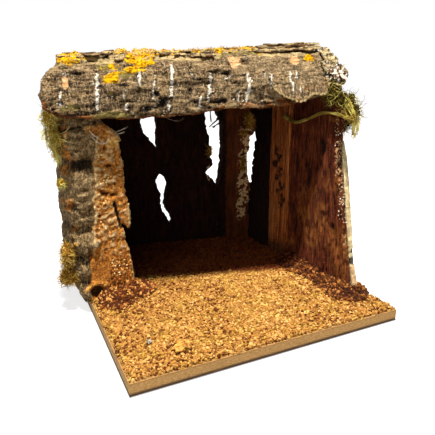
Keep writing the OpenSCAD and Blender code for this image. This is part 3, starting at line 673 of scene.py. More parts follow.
def brokenEnd(x, z, seam, normal, point):
    # The strip of broken wood: lumps, pits, ridges of fibre, torn pale rims
    look = leftLook
    low = 1 - fade(z, 36, 52)
    waves = rough(metres(x * 0.5, point.y / mm, z), 0.0024, 3, 34) * (1 - 0.6 * low)
    lumps = rough(point, 0.0034, 2, 41)
    grains = rough(point, 0.0018, 2, 35)
    pit = fade(inPatches(x, z, look["pits"]) * (0.9 + 0.5 * grains), 0.3, 0.8)
    ridge = max(bump(toSegment(x, z + 1.4 * lumps, line), 0, 0.8) for line in look["ridges"])
    slit = 1 - fade(toSegment(x, z, look["slit"]), 0.7, 1.5)
    push = 0.0011 + 0.0006 * waves + (0.0007 * lumps + 0.0006 * grains) * (1 - 0.85 * low) + 0.0006 * ridge
    push -= 0.0026 * max(pit, slit)
    rim = nearLine(abs(x - seam - 1.2), 1.1 * (0.8 + 0.9 * grains)) * (1 - 0.8 * low)
    knob = 1 - fade(fromMiddle(x, z, look["grey"]), 0.6, 1.0)
    away, knotZ, knotR = fromKnot(x, z)
    knotDark = 1 - fade(away, knotR * 0.6, knotR * 0.85)
    knotRim = bump(away, knotR * 1.15, knotR * 0.25) * fade(z, knotZ - 2, knotZ + 4)
    push += 0.0022 * knob + 0.0018 * knotRim - 0.0014 * knotDark
    rightRim = nearLine(4.5 * (1 - fade(normal.x, 0.0, 0.35)), 0.5 + 0.9 * waves)
    slitRim = nearLine(abs(toSegment(x + 0.4, z, look["slit"]) - 1.4),
                       0.5 + 0.6 * grains) * (1 - fade(x - look["slit"][0], -1, 3))
    rightRim = max(rightRim, slitRim)
    white = max(rim, 0.9 * rightRim)
    golden = bump(z, 127.5, 4.5) * fade(x, -84, -78)
    leftFoot = (1 - fade(z, 14, 30)) * (1 - fade(x, -93, -88))
    dark = max(0.42 * pit, 1.2 * slit, 0.6 * leftFoot * clamp(0.6 + waves), 0.9 * knotDark)
    # The golden lump takes the pale tone as well: partly its own colour, partly a painted highlight where
    # the roof shades it
    pale = max(0.5 * ridge * clamp(0.5 + 1.5 * grains), 0.95 * rim, 0.7 * golden * clamp(0.7 + 1.5 * waves),
               0.9 * rightRim, 0.5 * clamp(2.2 * grains) * (1 - 0.8 * low))
    return (push, (1.0 - knob, 0.0, clamp(max(0.84 * white, 0.5 * knob * clamp(0.8 + waves))), clamp(dark)),
            (clamp(0.9 * golden + 0.3 * clamp(waves) + 0.5 * knotRim), 0.0, clamp(pale),
             clamp(0.66 - 0.14 * low + (0.30 * waves + 0.25 * lumps + 0.22 * grains) * (1 - 0.4 * low)
                   + 0.2 * ridge + 0.15 * golden - 0.7 * pit)))


def leftRule(point, normal):
    x, y, z = inMm(point)
    look = leftLook
    seam = leftSeam(x, z)
    frontShare = fade(-normal.y, 0.25, 0.6) if y < 2 else 0.0
    broken = frontShare * fade(x, seam - 0.6, seam + 0.6)
    innerSide = normal.x > 0.45 and broken < 0.5
    topFace = normal.z > 0.75
    if innerSide or (topFace and x > seam + 2):
        fibres = rough(metres(x, y, z * 0.15), 0.0022, 3, 32)
        inShade = 0.75 if y > -6 else 0.15
        return (0.0005 * fibres + 0.0006 * rough(point, 0.006, 2, 33), (1.0, 0, 0, inShade),
                (0.5 if topFace and y < -4 else 0, 0, 0, clamp(0.5 + 0.4 * fibres)))
    if broken > 0.5:
        return brokenEnd(x, z, seam, normal, point)
    bandShift = 2.2 * rough(metres(x, y, 0), 0.02, 2, 36)
    push, relief = 0.0, 0.55
    for middle, depth, width in look["recesses"]:
        share = bump(z + bandShift, middle, width)
        push -= depth * mm * share
        relief -= 0.4 * share
    for middle, height, width in look["swells"]:
        push += height * mm * bump(z + bandShift, middle, width)
    rings = arcDark = 0.0
    if y < 8:
        ringX, ringZ, ringReach = look["rings"]
        distance = math.hypot(x - ringX, z - ringZ)
        if distance < ringReach:
            rings = 0.6 * math.sin(distance * 2.2) * (1 - distance / ringReach)
        wander = 1.6 * rough(point, 0.009, 2, 46)
        arcX, arcZ, arcRound = look["arcs"]
        arcs = math.hypot(x - arcX, (z - arcZ) * 1.1) + wander
        sector = clamp(0.35 + 0.9 * math.cos(math.atan2(z - arcZ, x - arcX) - 2.2))
        if arcs < ringReach:
            rings += 0.7 * math.sin(arcs * 1.3) * fade(ringReach - arcs, 0, 3) * sector
        push -= 0.0018 * bump(arcs, arcRound, 1.4) * sector
        relief -= 0.45 * bump(arcs, arcRound, 1.6) * sector
        arcDark = sector * max(bump(arcs, arcRound, 1.3), 0.6 * bump(arcs, 7.2, 0.7),
                               0.5 * bump(arcs, 13.6, 0.8))
        hole = clamp(1.6 - fromMiddle(x, z, look["hole"]))
        push -= 0.002 * hole
        relief -= 0.5 * hole
    across = rough(metres(x * 0.4, y * 0.4, z), 0.0022, 3, 37)
    upDown = rough(metres(x, y, z * 0.3), 0.0024, 2, 38)
    lumps = rough(point, 0.007, 3, 39)
    push += 0.0006 * rings + 0.0006 * across + 0.0004 * upDown + 0.0010 * lumps
    relief += 0.25 * across + 0.16 * upDown + 0.15 * lumps + 0.25 * rings
    knotDark = knotRim = knob = pinkKnob = 0.0
    if y < 6:
        away, knotZ, knotR = fromKnot(x, z)
        knotDark = 1 - fade(away, knotR * 0.55, knotR * 0.85)
        knotRim = bump(away, knotR * 1.1, knotR * 0.22) * fade(z, knotZ - 2, knotZ + 4)
        push += 0.0020 * (1 - fade(away, knotR * 0.9, knotR * 1.4)) - 0.0016 * knotDark
        knob = 1 - fade(fromMiddle(x, z, look["grey"]), 0.55, 1.0)
        pinkKnob = 1 - fade(fromMiddle(x, z, look["pink"]), 0.5, 1.0)
        push += 0.0026 * knob + 0.0016 * pinkKnob
    farLeft = fade(-x, 102.5, 107) * clamp(fade(z, 96, 112) + 0.8 * bump(z, 84, 8)
                                           + 0.7 * bump(z, 66, 5)) * fade(-y, -30, 5)
    farLeft *= clamp(0.75 + 0.9 * lumps)
    crevice = bump(z + bandShift, 113.5, 4.5) * fade(-y, 0, 8)
    orangeFoot = fade(x, -100, -97) * (1 - fade(z, 46, 49)) * fade(z, 22, 27) * frontShare
    crest = 0.35 * clamp(lumps - 0.35)
    return (push, (clamp(0.9 * farLeft + knotRim + orangeFoot), 0.0,
                   max(crest, 0.52 * knob * clamp(0.8 + across)),
                   clamp(0.8 * knotDark + 0.8 * (0.35 - relief) + 0.75 * crevice + 0.8 * arcDark)),
            (clamp(0.6 * knotRim + 0.7 * pinkKnob), 0.28 * clamp(rough(point, 0.014, 2, 40) + 0.1), 0.0,
             clamp(relief)))


leftFront = dressed("left_front_slab", leftLook["voxel"], 1, leftRule, leftBark, "grey_bark")


def outerBark(point, seed):
    # The outside of an upright slab: long plates with furrows between them, and a few growths
    plates = rough(Vector((point.x, point.y, point.z * 0.28)), 0.008, 3, seed)
    furrow = furrows(Vector((point.x, point.y, point.z * 0.2)), 0.0075, 2, seed + 1, 0.15)
    across = furrows(Vector((point.x, point.y, point.z * 1.4)), 0.012, 2, seed + 2, 0.05)
    lumps = rough(point, 0.005, 3, seed + 3)
    lichen = clamp(1.7 * rough(point, 0.017, 3, seed + 4) - 0.75)
    green = clamp(0.9 * rough(point, 0.022, 2, seed + 5))
    return (0.0012 * plates + 0.0007 * lumps - 0.0017 * furrow - 0.0007 * across + 0.0005 * lichen,
            (0, lichen, 0, 0.45 * furrow), (0, green, 0.35 * clamp(plates),
                                            clamp(0.6 + 0.26 * plates + 0.24 * lumps - 0.5 * furrow)))


def leftRearRule(point, normal):
    if normal.x > -0.3:
        across = rough(Vector((point.x, point.y * 0.4, point.z)), 0.0028, 3, 43)
        # The inner face and ends take painted shade
        return 0.0007 * across, (1.0, 0, 0, 0.6), (0, 0, 0, clamp(0.5 + 0.35 * across))
    return outerBark(point, 42)


dressed("left_rear_slab", leftLook["rearVoxel"], 1, leftRearRule, leftBark, "grey_bark")
print("left wall done")

# Right wall: three slabs, each with its own bare inner face
rightLook = {
    "voxel": 0.0010, "midVoxel": 0.0012, "rearVoxel": 0.0014,
    # Patches on the wall's inner face: y and z in mm, and half sizes
    "orange": [(-24, 60, 12, 14), (-36, 42, 14, 13), (-47, 58, 11, 18), (-66, 44, 12, 16),
               (-77, 48, 10, 14), (-75, 50, 7, 11), (-72, 26, 11, 12), (-56, 142, 12, 3), (-20, 76, 6, 9),
               (-8, 30, 8, 8)],
    "tan": [(-50, 94, 10, 12), (-64, 90, 8, 12), (-34, 80, 8, 14)],
    "darks": [(-61, 82, 1.5, 7), (-22, 120, 1.3, 12), (-12, 46, 4, 14), (-8, 60, 3, 10), (-50, 66, 5, 3),
              (-28, 92, 4, 12), (-44, 118, 5, 12), (-10, 100, 3, 16), (-62, 58, 3, 4)],
    "spots": [(24, 109, 5.0), (19, 103, 5.6), (25.5, 97, 4.4), (16, 90, 5.4), (22, 84, 4.2),
              (13, 77, 5.4), (19, 71, 4.0), (11, 65, 5.2), (15.5, 59, 4.2)],
    "amber": (-76, 49, 7, 10),
    # The front edge: its foot, its slope, and its setbacks, from and to height and how far
    "foot": -91.5, "slope": 0.1763, "steps": [(8, 60, 5.5), (60, 98, 10), (98, 126, 12), (126, 150, 4)],
    # The pale slat's notch, from and to height, and the white patch beside it
    "notch": (28.5, 44), "white": (-74, 31, 3, 5),
    "farReach": 0.0034,  # How far the dark slab leans in towards the back wall
}


def rightFrontRule(point, normal):
    x, y, z = inMm(point)
    fibres = rough(metres(x, y, z * 0.09), 0.0016, 3, 51)
    broad = rough(metres(x, y, z * 0.25), 0.006, 3, 52)
    if normal.x > 0.35:
        return outerBark(point, 53)
    edgeLine = rightLook["foot"] + rightLook["slope"] * (z - 8)
    for low, high, setBack in rightLook["steps"]:
        edgeLine += setBack * fade(z, low - 2, low + 2) * (1 - fade(z, high - 2, high + 2))
    frontFace = normal.y < -0.5
    grains = rough(point, 0.0024, 3, 55)
    edge = max(0.40 if frontFace else 0.0, 0.56 * fade(y - edgeLine, 5.5 + 4.0 * grains, 0.0))
    flecks = rough(point, 0.0017, 2, 50)
    torn = clamp(edge * clamp(0.62 + 1.5 * flecks)) * fade(z, 50, 85)
    orange = max(inPatches(y, z, rightLook["orange"]), 0.6 * inPatches(y, z, rightLook["tan"]))
    orange = clamp(orange * (0.7 + 1.1 * rough(metres(x, y, z * 0.5), 0.0032, 3, 56)))
    dark = inPatches(y, z, rightLook["darks"]) * clamp(0.75 + 0.8 * fibres)
    groove = furrows(metres(x, y, z * 0.05), 0.0045, 2, 57, 0.09)
    ragged = 0.0014 * rough(point, 0.0035, 3, 58) if frontFace else 0.0
    push = 0.0009 * fibres + 0.0009 * broad - 0.0011 * groove - 0.0014 * fade(dark, 0.4, 0.9) + ragged
    nearTop = 0.12 * fade(z, 105, 140)
    amber = 0.6 * inEllipse(y, z, rightLook["amber"]) * clamp(0.5 + 1.4 * grains)
    return (push, (1.0, 0.0, 0.8 * torn, clamp(0.9 * dark + nearTop + 0.9 * edge * clamp(-2 * flecks))),
            (0.95 * orange, 0.0, clamp(max(1.1 * torn, amber)),
             clamp(0.55 + 0.38 * fibres + 0.28 * broad - 0.35 * groove)))


rightFront = dressed("right_front_slab", rightLook["voxel"], 0, rightFrontRule, rightBark, "inner_bark")


def rightStripRule(point, normal):
    x, y, z = inMm(point)
    fibres = rough(metres(x, y, z * 0.05), 0.0026, 3, 61)
    if normal.x > 0.35:
        return outerBark(point, 53)
    spot = max(clamp(1.4 - fromMiddle(y, z, each)) for each in rightLook["spots"])
    spot = clamp(spot * (0.85 + 1.2 * rough(point, 0.0025, 2, 63)))
    broad = rough(metres(x, y, z * 0.2), 0.009, 2, 59)
    # Dark spots, and painted shade that darkens the strip towards its foot
    return (0.0006 * fibres - 0.0009 * spot, (1.0, 0, 0.0, clamp(spot + 0.62 * (1 - fade(z, 14, 40)))),
            (0.0, 0, 0.0, clamp(0.66 + 0.25 * fibres + 0.2 * broad - 0.3 * spot)))


dressed("right_mid_slab", rightLook["midVoxel"], 1, rightStripRule, midBark, "inner_bark")


def darkRule(point, normal):
    if normal.x > 0.35 or normal.y > 0.8:
        return outerBark(point, 53)
    fibres = rough(Vector((point.x, point.y, point.z * 0.1)), 0.0028, 3, 64)
    lumps = rough(point, 0.007, 3, 65)
    reach = rightLook["farReach"] * fade(normal.y, 0.2, 0.5)
    # The inner face takes painted shade
    return (0.0006 * fibres + 0.0008 * lumps + reach, (1.0, 0, 0, 0.3),
            (0, 0, 0, clamp(0.5 + 0.3 * fibres + 0.25 * lumps)))


dressed("right_rear_slab", rightLook["rearVoxel"], 1, darkRule, darkBark, "inner_bark")


def slatRule(point, normal):
    x, y, z = inMm(point)
    fibres = rough(metres(x, y, z * 0.05), 0.0018, 3, 66)
    ragged = 0.0008 * rough(point, 0.005, 3, 67) if abs(normal.x) < 0.4 else 0.0
    low = 1 - fade(z, 24, 48)
    foot, top = rightLook["notch"]
    notch = fade(z, foot, foot + 2.5) * (1 - fade(z, top - 2.5, top)) * fade(-y, 74, 76.5)
    notch *= clamp(0.9 + rough(point, 0.004, 2, 68))
    pale = max(0.3 * low * clamp(0.6 + fibres), 0.8 * inEllipse(y, z, rightLook["white"]))
    return (0.0003 * fibres + ragged - 0.0008 * notch, (0, 0, pale, clamp(notch)),
            (0.5 * low, 0, 0, clamp(0.6 + 0.25 * fibres)))


dressed("right_outer_slat", rightLook["voxel"], 0, slatRule, paleWood, "pale_wood")
print("right wall done")

# Back wall: dark inner faces with painted shade, ragged edges with a painted highlight, bark outside
backLook = {"tan": [(82, 84, 8, 14), (82, 64, 8, 18), (81, 42, 8, 18), (80, 27, 7, 8), (83, 112, 6, 16),
                    (44, 74, 3, 9)],
            "voxel": 0.0013}


def backRule(point, normal):
    local = backInverse @ point
    facing = backInverse.to_3x3() @ normal
    s, height = local.x / mm, local.z / mm
    fibres = rough(Vector((local.x, local.y, local.z * 0.12)), 0.0028, 3, 71)
    lumps = rough(local, 0.007, 3, 72)
    if facing.y > 0.4:
        return outerBark(local, 73)
    edge = abs(facing.x) > 0.45
    # Tan patches of wood, painted paler than their own tone: a painted highlight
    tan = inPatches(s, height, backLook["tan"])
    tan = clamp(1.5 * tan * clamp(0.52 + 1.8 * rough(local, 0.0025, 3, 75)))
    ragged = 0.0011 * rough(local, 0.004, 3, 76) if edge else 0.0
    # The lit edges stand a little further over than the slabs' plain outlines
    if facing.x > 0.45 and s < 6:
        ragged += 0.0018
    elif facing.x > 0.45 and s > 60:
        ragged += 0.0026 + 0.003 * (1 - fade(height, 44, 58)) + 0.004 * fade(height, 108, 118)
    elif facing.x < -0.45 and (s < 15 or s > 45):
        ragged -= 0.0018
    # Painted shade on the inner faces, less of it on the edges; the edges also take a little red-brown, a
    # painted highlight
    red = 0.6 * fade(s, 56, 64) + (0.2 if edge else 0.0) + 0.3 * fade(tan, 0.2, 0.5)
    green = 0.2 * bump(height, 122, 14) * fade(s, 70, 76)
    return (0.0006 * fibres + 0.0007 * lumps + ragged, (1.0, 0, 0, 0.12 if edge else 0.25),
            (red, green, 0.9 * tan, clamp(0.52 + 0.3 * fibres + 0.25 * lumps)))


for nodeName in ("back_left_slab", "back_mid_slab", "back_right_slab", "back_left_slat"):
    dressed(nodeName, backLook["voxel"], 1, backRule, backBark, "inner_bark")
print("back wall done")


# Thin ragged sheets of bark that lie on the half round

def barkSheet(bm, look, seed):
    # look: middle place in mm, middle angle, half sizes in mm, rise, thickness, lift of the rim
    sheet = bmesh.new()
    cells = look.get("cells", 26)
    bmesh.ops.create_grid(sheet, x_segments=cells, y_segments=cells // 2, size=1.0)
    for vertex in sheet.verts:
        a, b = vertex.co.x, vertex.co.y
        reach, heading = max(abs(a), abs(b)), math.atan2(b, a)
        ragged = 0.86 + 0.34 * rough(Vector((math.cos(heading), math.sin(heading), seed)), 0.30, 4, seed)
        u = look["at"][0] + a * ragged * look["half"][0]
        arc = roofArc(look["at"][1]) + b * ragged * look["half"][1]
        radius = roofRound + look["rise"] + look["lift"] * reach ** 3
        radius += 0.5 * rough(metres(u * 0.4, arc, seed), 0.005, 3, seed)
        vertex.co = onRoof(u, arc / roofRound, radius)
    thicken(sheet, look["thick"] * mm)
    part = bpy.data.meshes.new("sheet")
    sheet.to_mesh(part)
    sheet.free()
    bm.from_mesh(part)
    bpy.data.meshes.remove(part)


def sheetRule(point, normal):
    local = roofInverse @ point
    lines = rough(Vector((local.x * 0.25, local.y, local.z)), 0.0016, 3, 81)
    spotty = rough(point, 0.0024, 2, 84)
    facing = outwards(local, normal)
    torn = fade(local.x, 0.088, 0.094)
    white = torn * clamp(0.50 + 0.9 * spotty)
    return (0.0002 * lines, (0.8 if facing < -0.2 else 0.0, 0, white, 0.9 * torn * clamp(-1.8 * spotty)),
            (0.0, 0.5 * clamp(rough(point, 0.009, 2, 82)),
             max(0.9 * torn * clamp(0.7 + spotty), clamp(0.45 + 0.9 * lines)) if facing > 0.3 else 0.0,
             clamp(0.55 + 0.35 * lines - (0.25 if facing < 0.3 else 0.0))))


flakeLook = {
    "top": [{"at": (66, 92), "half": (26, 13), "rise": 1.2, "thick": 1.2, "lift": 0.4},
            {"at": (84, 90), "half": (18, 11), "rise": 2.3, "thick": 1.0, "lift": 0.6},
            {"at": (72, 84), "half": (16, 6), "rise": 2.9, "thick": 0.9, "lift": 0.7},
            {"at": (62, 76), "half": (14, 4), "rise": 1.6, "thick": 0.8, "lift": 0.7},
            {"at": (86, 77), "half": (15, 4), "rise": 2.2, "thick": 0.8, "lift": 0.8},
            {"at": (76, 68), "half": (18, 4), "rise": 1.1, "thick": 0.8, "lift": 0.8},
            {"at": (56, 66), "half": (13, 3), "rise": 0.9, "thick": 0.7, "lift": 0.6},
            {"at": (92, 66), "half": (8, 5), "rise": 1.4, "thick": 0.8, "lift": 0.9},
            {"at": (52, 82), "half": (9, 6), "rise": 1.4, "thick": 0.9, "lift": 0.4},
            {"at": (90, 100), "half": (11, 7), "rise": 3.0, "thick": 1.0, "lift": 0.4}],
    "end": [{"at": (98, 36), "half": (8, 7), "rise": 0.6, "thick": 1.2, "lift": 1.0},
            {"at": (101, 27), "half": (8, 6), "rise": 1.2, "thick": 1.1, "lift": 1.4},
            {"at": (100, 46), "half": (6, 5), "rise": 0.9, "thick": 1.0, "lift": 1.0},
            {"at": (96, 20), "half": (6, 4), "rise": 0.8, "thick": 1.0, "lift": 1.0},
            {"at": (99, 58), "half": (5, 5), "rise": 0.8, "thick": 0.9, "lift": 1.2}],
}
for pieceName, key, nodeName, seed in (("roofTopFlakes", "top", "roof_top_flake", 1.5),
                                       ("roofEndFlakes", "end", "roof_end_flake", 9.5)):
    bm = bmesh.new()
    for count, look in enumerate(flakeLook[key]):
        barkSheet(bm, look, count + seed)
    finish(sculpt(pieceFrom(pieceName, bm), sheetRule), roofBark, "grey_bark", nodeName)

# Small overlapping scales along the crest, which rise higher towards the left end
crestLook = {"count": 70, "from": -97, "to": 50, "low": 64, "high": 104}
dice = random.Random(23)
bm = bmesh.new()
for count in range(crestLook["count"]):
    reach = crestLook["to"] - crestLook["from"]
    u = crestLook["from"] + reach * (count + dice.random()) / crestLook["count"]
    scale = {"at": (u, dice.uniform(crestLook["low"], crestLook["high"])),
             "half": (dice.uniform(2.5, 6.5), dice.uniform(1.8, 3.8)),
             "rise": dice.uniform(0.1, 0.9) + 1.7 * fade(-u, 10, 95), "thick": dice.uniform(0.6, 1.2),
             "lift": dice.uniform(-0.4, 1.3), "cells": 14}
    barkSheet(bm, scale, 20.5 + count)
finish(sculpt(pieceFrom("crestScales", bm), sheetRule), roofBark, "grey_bark")
print("bark flakes done")

# The scalloped sheet that curls out over the lip at the right
scallopLook = {
    "from": 46.5, "to": 92.5, "top": 24, "rise": 0.35, "thick": 0.8, "curl": 2.2, "pleats": 1.9,
    # Its lower edge: place along the roof in mm, and angle
    "edge": [(46.5, 17), (49.2, 13), (52.1, 9.8), (56.7, 6.0), (62.2, 2.6), (67.8, 0.2), (71.8, 0.8),
             (75.2, 3.6), (78.5, 6.4), (81.9, 7.0), (86.0, 5.2), (90.2, 7.0), (91.4, 12.5), (92.5, 20)],
}


def pleatAt(u):
    return math.sin(u * scallopLook["pleats"] + 1.5 * rough(Vector((u * mm, 0, 0)), 0.007, 2, 93))


bm = bmesh.new()
bmesh.ops.create_grid(bm, x_segments=70, y_segments=26, size=1.0)
for vertex in bm.verts:
    u = scallopLook["from"] + (vertex.co.x + 1) / 2 * (scallopLook["to"] - scallopLook["from"])
    share = (vertex.co.y + 1) / 2
    low = edgeAngle(u, scallopLook["edge"]) + 0.5 * math.sin(u * scallopLook["pleats"])
    low += 0.7 * rough(Vector((u * mm, 0, 0)), 0.003, 2, 91)
    angle = low + (scallopLook["top"] - low) * share
    radius = roofRound + scallopLook["rise"] + scallopLook["curl"] * (1 - share) ** 2.4
    radius += 0.45 * pleatAt(u) * (1 - share)
    radius -= 0.9 * fade(share, 0.6, 1.0)
    vertex.co = onRoof(u, math.radians(angle), radius)
thicken(bm, scallopLook["thick"] * mm)
scallop = pieceFrom("scallopedLip", bm)


def scallopRule(point, normal):
    local = roofInverse @ point
    u, angle = local.x / mm, math.degrees(math.atan2(local.z, -local.y))
    fromEdge = angle - edgeAngle(u, scallopLook["edge"])
    lines = rough(Vector((local.x, local.y * 0.2, local.z * 0.2)), 0.0012, 2, 92)
    under = outwards(local, normal) < -0.2
    pleat = pleatAt(u)
    nearEdge = 1 - fade(fromEdge, 1.0, 11.0)
    rim = 0.0 if under else nearLine(max(fromEdge, 0.0), 0.5 + 0.4 * lines)
    pale = max(0.5 * nearEdge * clamp(0.35 + 0.5 * pleat + 0.4 * lines), 0.3 * clamp(lines))
    pale = max(pale, 1.2 * rim)
    white = 0.62 * rim
    for line in roofLook["streaks"]:
        if abs(u - line[0]) < 6 and line[0] > 40:
            white = max(white, nearLine(fromStreak(u, roofArc(angle), line), 0.8 * line[4]))
    return (0.0003 * lines, (1.0 if under else 0.0, 0, white, 0.2 * nearEdge * clamp(-pleat - 0.2)),
            (0.0, 0, pale, clamp(0.6 + 0.3 * lines)))


finish(sculpt(scallop, scallopRule), roofBark, "grey_bark")
print("scalloped lip done")


# Scattering: many small bits on a carrier, made one mesh

def scatter(name, carrier, shapes, look, seed):
    store = bpy.data.collections.new(name + "Shapes")
    for shape in shapes:
        store.objects.link(shape)
    tree = bpy.data.node_groups.new(name, "GeometryNodeTree")
    tree.interface.new_socket("Geometry", in_out="INPUT", socket_type="NodeSocketGeometry")
    tree.interface.new_socket("Geometry", in_out="OUTPUT", socket_type="NodeSocketGeometry")
    start, end = tree.nodes.new("NodeGroupInput"), tree.nodes.new("NodeGroupOutput")
    points = node(tree, "GeometryNodeDistributePointsOnFaces", {
        "Mesh": start.outputs[0], "Distance Min": look["apart"], "Density Max": look["density"],
        "Seed": seed}, distribute_method="POISSON")
    bits = node(tree, "GeometryNodeCollectionInfo", {"Collection": store, "Separate Children": True,
                                                     "Reset Children": True})
    pick = node(tree, "FunctionNodeRandomValue", data_type="INT")
    pick.inputs[4].default_value = 0
    pick.inputs[5].default_value = len(shapes) - 1
    pick.inputs["Seed"].default_value = seed + 1
    size = node(tree, "FunctionNodeRandomValue", data_type="FLOAT")
    size.inputs[2].default_value, size.inputs[3].default_value = look["size"]
    size.inputs["Seed"].default_value = seed + 2
    hanging = node(tree, "ShaderNodeVectorMath", {
        0: points.outputs["Normal"], 1: (0.0, 0.0, -look.get("droop", 0.0))}, operation="ADD").outputs[0]
    heading = node(tree, "FunctionNodeAlignRotationToVector", {"Vector": hanging}, axis="Z")
    put = node(tree, "GeometryNodeInstanceOnPoints", {
        "Points": points.outputs["Points"], "Instance": bits.outputs[0], "Pick Instance": True,
        "Instance Index": pick.outputs[2], "Rotation": heading.outputs[0], "Scale": size.outputs[1]})
    spin = node(tree, "FunctionNodeRandomValue", data_type="FLOAT_VECTOR")
    lean = look["lean"]
    spin.inputs[0].default_value = (-lean, -lean, 0.0)
    spin.inputs[1].default_value = (lean, lean, 2 * math.pi)
    spin.inputs["Seed"].default_value = seed + 3
    turnBits = node(tree, "GeometryNodeRotateInstances", {"Instances": put.outputs[0],
                                                          "Rotation": spin.outputs[0], "Local Space": True})
    shade = node(tree, "FunctionNodeRandomValue", data_type="FLOAT")
    shade.inputs["Seed"].default_value = seed + 4
    kept = node(tree, "GeometryNodeStoreNamedAttribute", {"Geometry": turnBits.outputs[0], "Name": "shade"},
                data_type="FLOAT", domain="INSTANCE")
    valueSocket = [socket for socket in kept.inputs if socket.name == "Value" and socket.enabled][0]
    tree.links.new(shade.outputs[1], valueSocket)
    real = node(tree, "GeometryNodeRealizeInstances", {"Geometry": kept.outputs[0]})
    if look.get("keepCarrier"):
        joined = tree.nodes.new("GeometryNodeJoinGeometry")
        tree.links.new(start.outputs[0], joined.inputs[0])
        tree.links.new(real.outputs[0], joined.inputs[0])
        tree.links.new(joined.outputs[0], end.inputs[0])
    else:
        tree.links.new(real.outputs[0], end.inputs[0])
    carrier.name = name
    maker = carrier.modifiers.new("scatter", "NODES")
    maker.node_group = tree
    applied(carrier)
    bpy.data.node_groups.remove(tree)
    for shape in shapes:
        bpy.data.objects.remove(shape)
    bpy.data.collections.remove(store)
    return carrier


def carrierFrom(name, source, keep):
    # The faces of a piece that keep picks, to scatter bits on
    bm = bmesh.new()
    bm.from_mesh(source.data)
    layer = bm.verts.layers.float_color["marks"]
    dropped = [face for face in bm.faces if not keep(face.calc_center_median() / mm, face.normal,
                                                     face.verts[0][layer])]
    bmesh.ops.delete(bm, geom=dropped, context="FACES")
    return pieceFrom(name, bm)


def granuleShapes(count, flat, seed):
    # Irregular crumbs of twenty faces, one unit across
    dice = random.Random(seed)
    shapes = []
    for index in range(count):
        bm = bmesh.new()
        bmesh.ops.create_icosphere(bm, subdivisions=1, radius=0.5)
        for vertex in bm.verts:
            vertex.co *= dice.uniform(0.72, 1.25)
        bmesh.ops.scale(bm, verts=bm.verts, vec=(dice.uniform(0.9, 1.3), dice.uniform(0.65, 1.0),
                                                 flat * dice.uniform(0.8, 1.3)))
        mesh = bpy.data.meshes.new("crumb")
        bm.to_mesh(mesh)
        bm.free()
        shapes.append(bpy.data.objects.new("crumb%d" % index, mesh))
    return shapes


crumbTones = {"dust": "f7fde6", "dusk": "8c4f38"}


# inside sets how strongly the painted roof shadow darkens crumbs under the roof
def crumbMaterial(name, dark, middle, light, inside=0.0, turnAt=0.5, mottle=0.0):
    material, tree, shader, place = newMaterial(name)
    shade = node(tree, "ShaderNodeAttribute", attribute_name="shade").outputs["Fac"]
    grain = placed(tree, barkGrain, {"Vector": place, "Scale": 900.0, "Stretch": 1.0})
    areas = noisy(tree, place, 40.0, 3.0)
    value = sums(tree, "ADD", shade, product(tree, sums(tree, "SUBTRACT", areas, 0.5), 0.8))
    if mottle:
        # A glued bed has no crumbs of its own to tell apart
        value = sums(tree, "ADD", value, spread(tree, noisy(tree, place, 620.0, 2.0), 0.36, 0.64, 0.0,
                                                mottle))
    colour = mixed(tree, spread(tree, value, 0.0, turnAt), paint(dark), paint(middle))
    colour = mixed(tree, spread(tree, value, 0.5, 1.0), colour, paint(light))
    colour = mixed(tree, spread(tree, grain["Tone"], 0.0, 0.6, 0.45, 0.0), colour, paint(dark))
    # Greener dust lies in patches
    dusty = mixed(tree, 1.0, colour, paint(crumbTones["dust"]), "MULTIPLY")
    colour = mixed(tree, spread(tree, noisy(tree, place, 85.0, 3.0), 0.46, 0.62), colour, dusty)
    # Painted shadow of the roof: the ground under it is darkened
    inward = node(tree, "ShaderNodeVectorMath", {0: place, 1: (0.35, 1.0, 0.0)},
                  operation="DOT_PRODUCT").outputs["Value"]
    dusk = mixed(tree, 1.0, colour, paint(crumbTones["dusk"]), "MULTIPLY")
    colour = mixed(tree, spread(tree, inward, -0.007, 0.004, 0.0, inside), colour, dusk)
    tree.links.new(colour, shader.inputs["Base Color"])
    bumpy(tree, shader, grain["Height"], 0.6, 0.0006)
    tree.links.new(spread(tree, grain["Tone"], 0.0, 1.0, 0.93, 0.75), shader.inputs["Roughness"])
    shader.inputs["Specular IOR Level"].default_value = 0.12
    return material


corkCrumbs = crumbMaterial("corkCrumbs", "5c2c0e", "c48a3e", "ecba6c", 0.92, 0.38)
leftCrumbs = crumbMaterial("leftCrumbs", "4c2410", "985420", "da9c52")
darkCrumbs = crumbMaterial("darkCrumbs", "3a1b0c", "7e441a", "bd7a3c", 0.8)
strawCrumbs = crumbMaterial("strawCrumbs", "c07c38", "f2bc6c", "fff0bc")
edgeFibres = crumbMaterial("edgeFibres", "b98a5c", "ecd6b4", "fffaf0")
lichenLeaves = crumbMaterial("lichenLeaves", "b07400", "ecae00", "f8c400")
bedTone = crumbMaterial("corkBed", "6c3814", "ac7634", "c8944c", 0.92, 0.45, 1.0)

# Ground: a glued bed, and the cork granulate on it
groundLook = {"near": {"apart": 0.00138, "density": 1500000.0, "size": (0.0011, 0.0025), "lean": 0.6},
              "deep": {"apart": 0.0017, "density": 1100000.0, "size": (0.0014, 0.0028), "lean": 0.6},
              "coarse": {"apart": 0.0036, "density": 28000.0, "size": (0.0022, 0.0036), "lean": 0.5},
              "flat": 0.55, "kinds": 8, "voxel": 0.0016,
              # Where the strips of crumbs meet, and how near the bed's rim its sides carry crumbs too
              "middleFrom": -0.060, "insideFrom": -0.002, "rim": 0.0006}


def bedRule(point, normal):
    return (0.0004 * rough(point, 0.004, 3, 101) - 0.0003, *plainMarks)


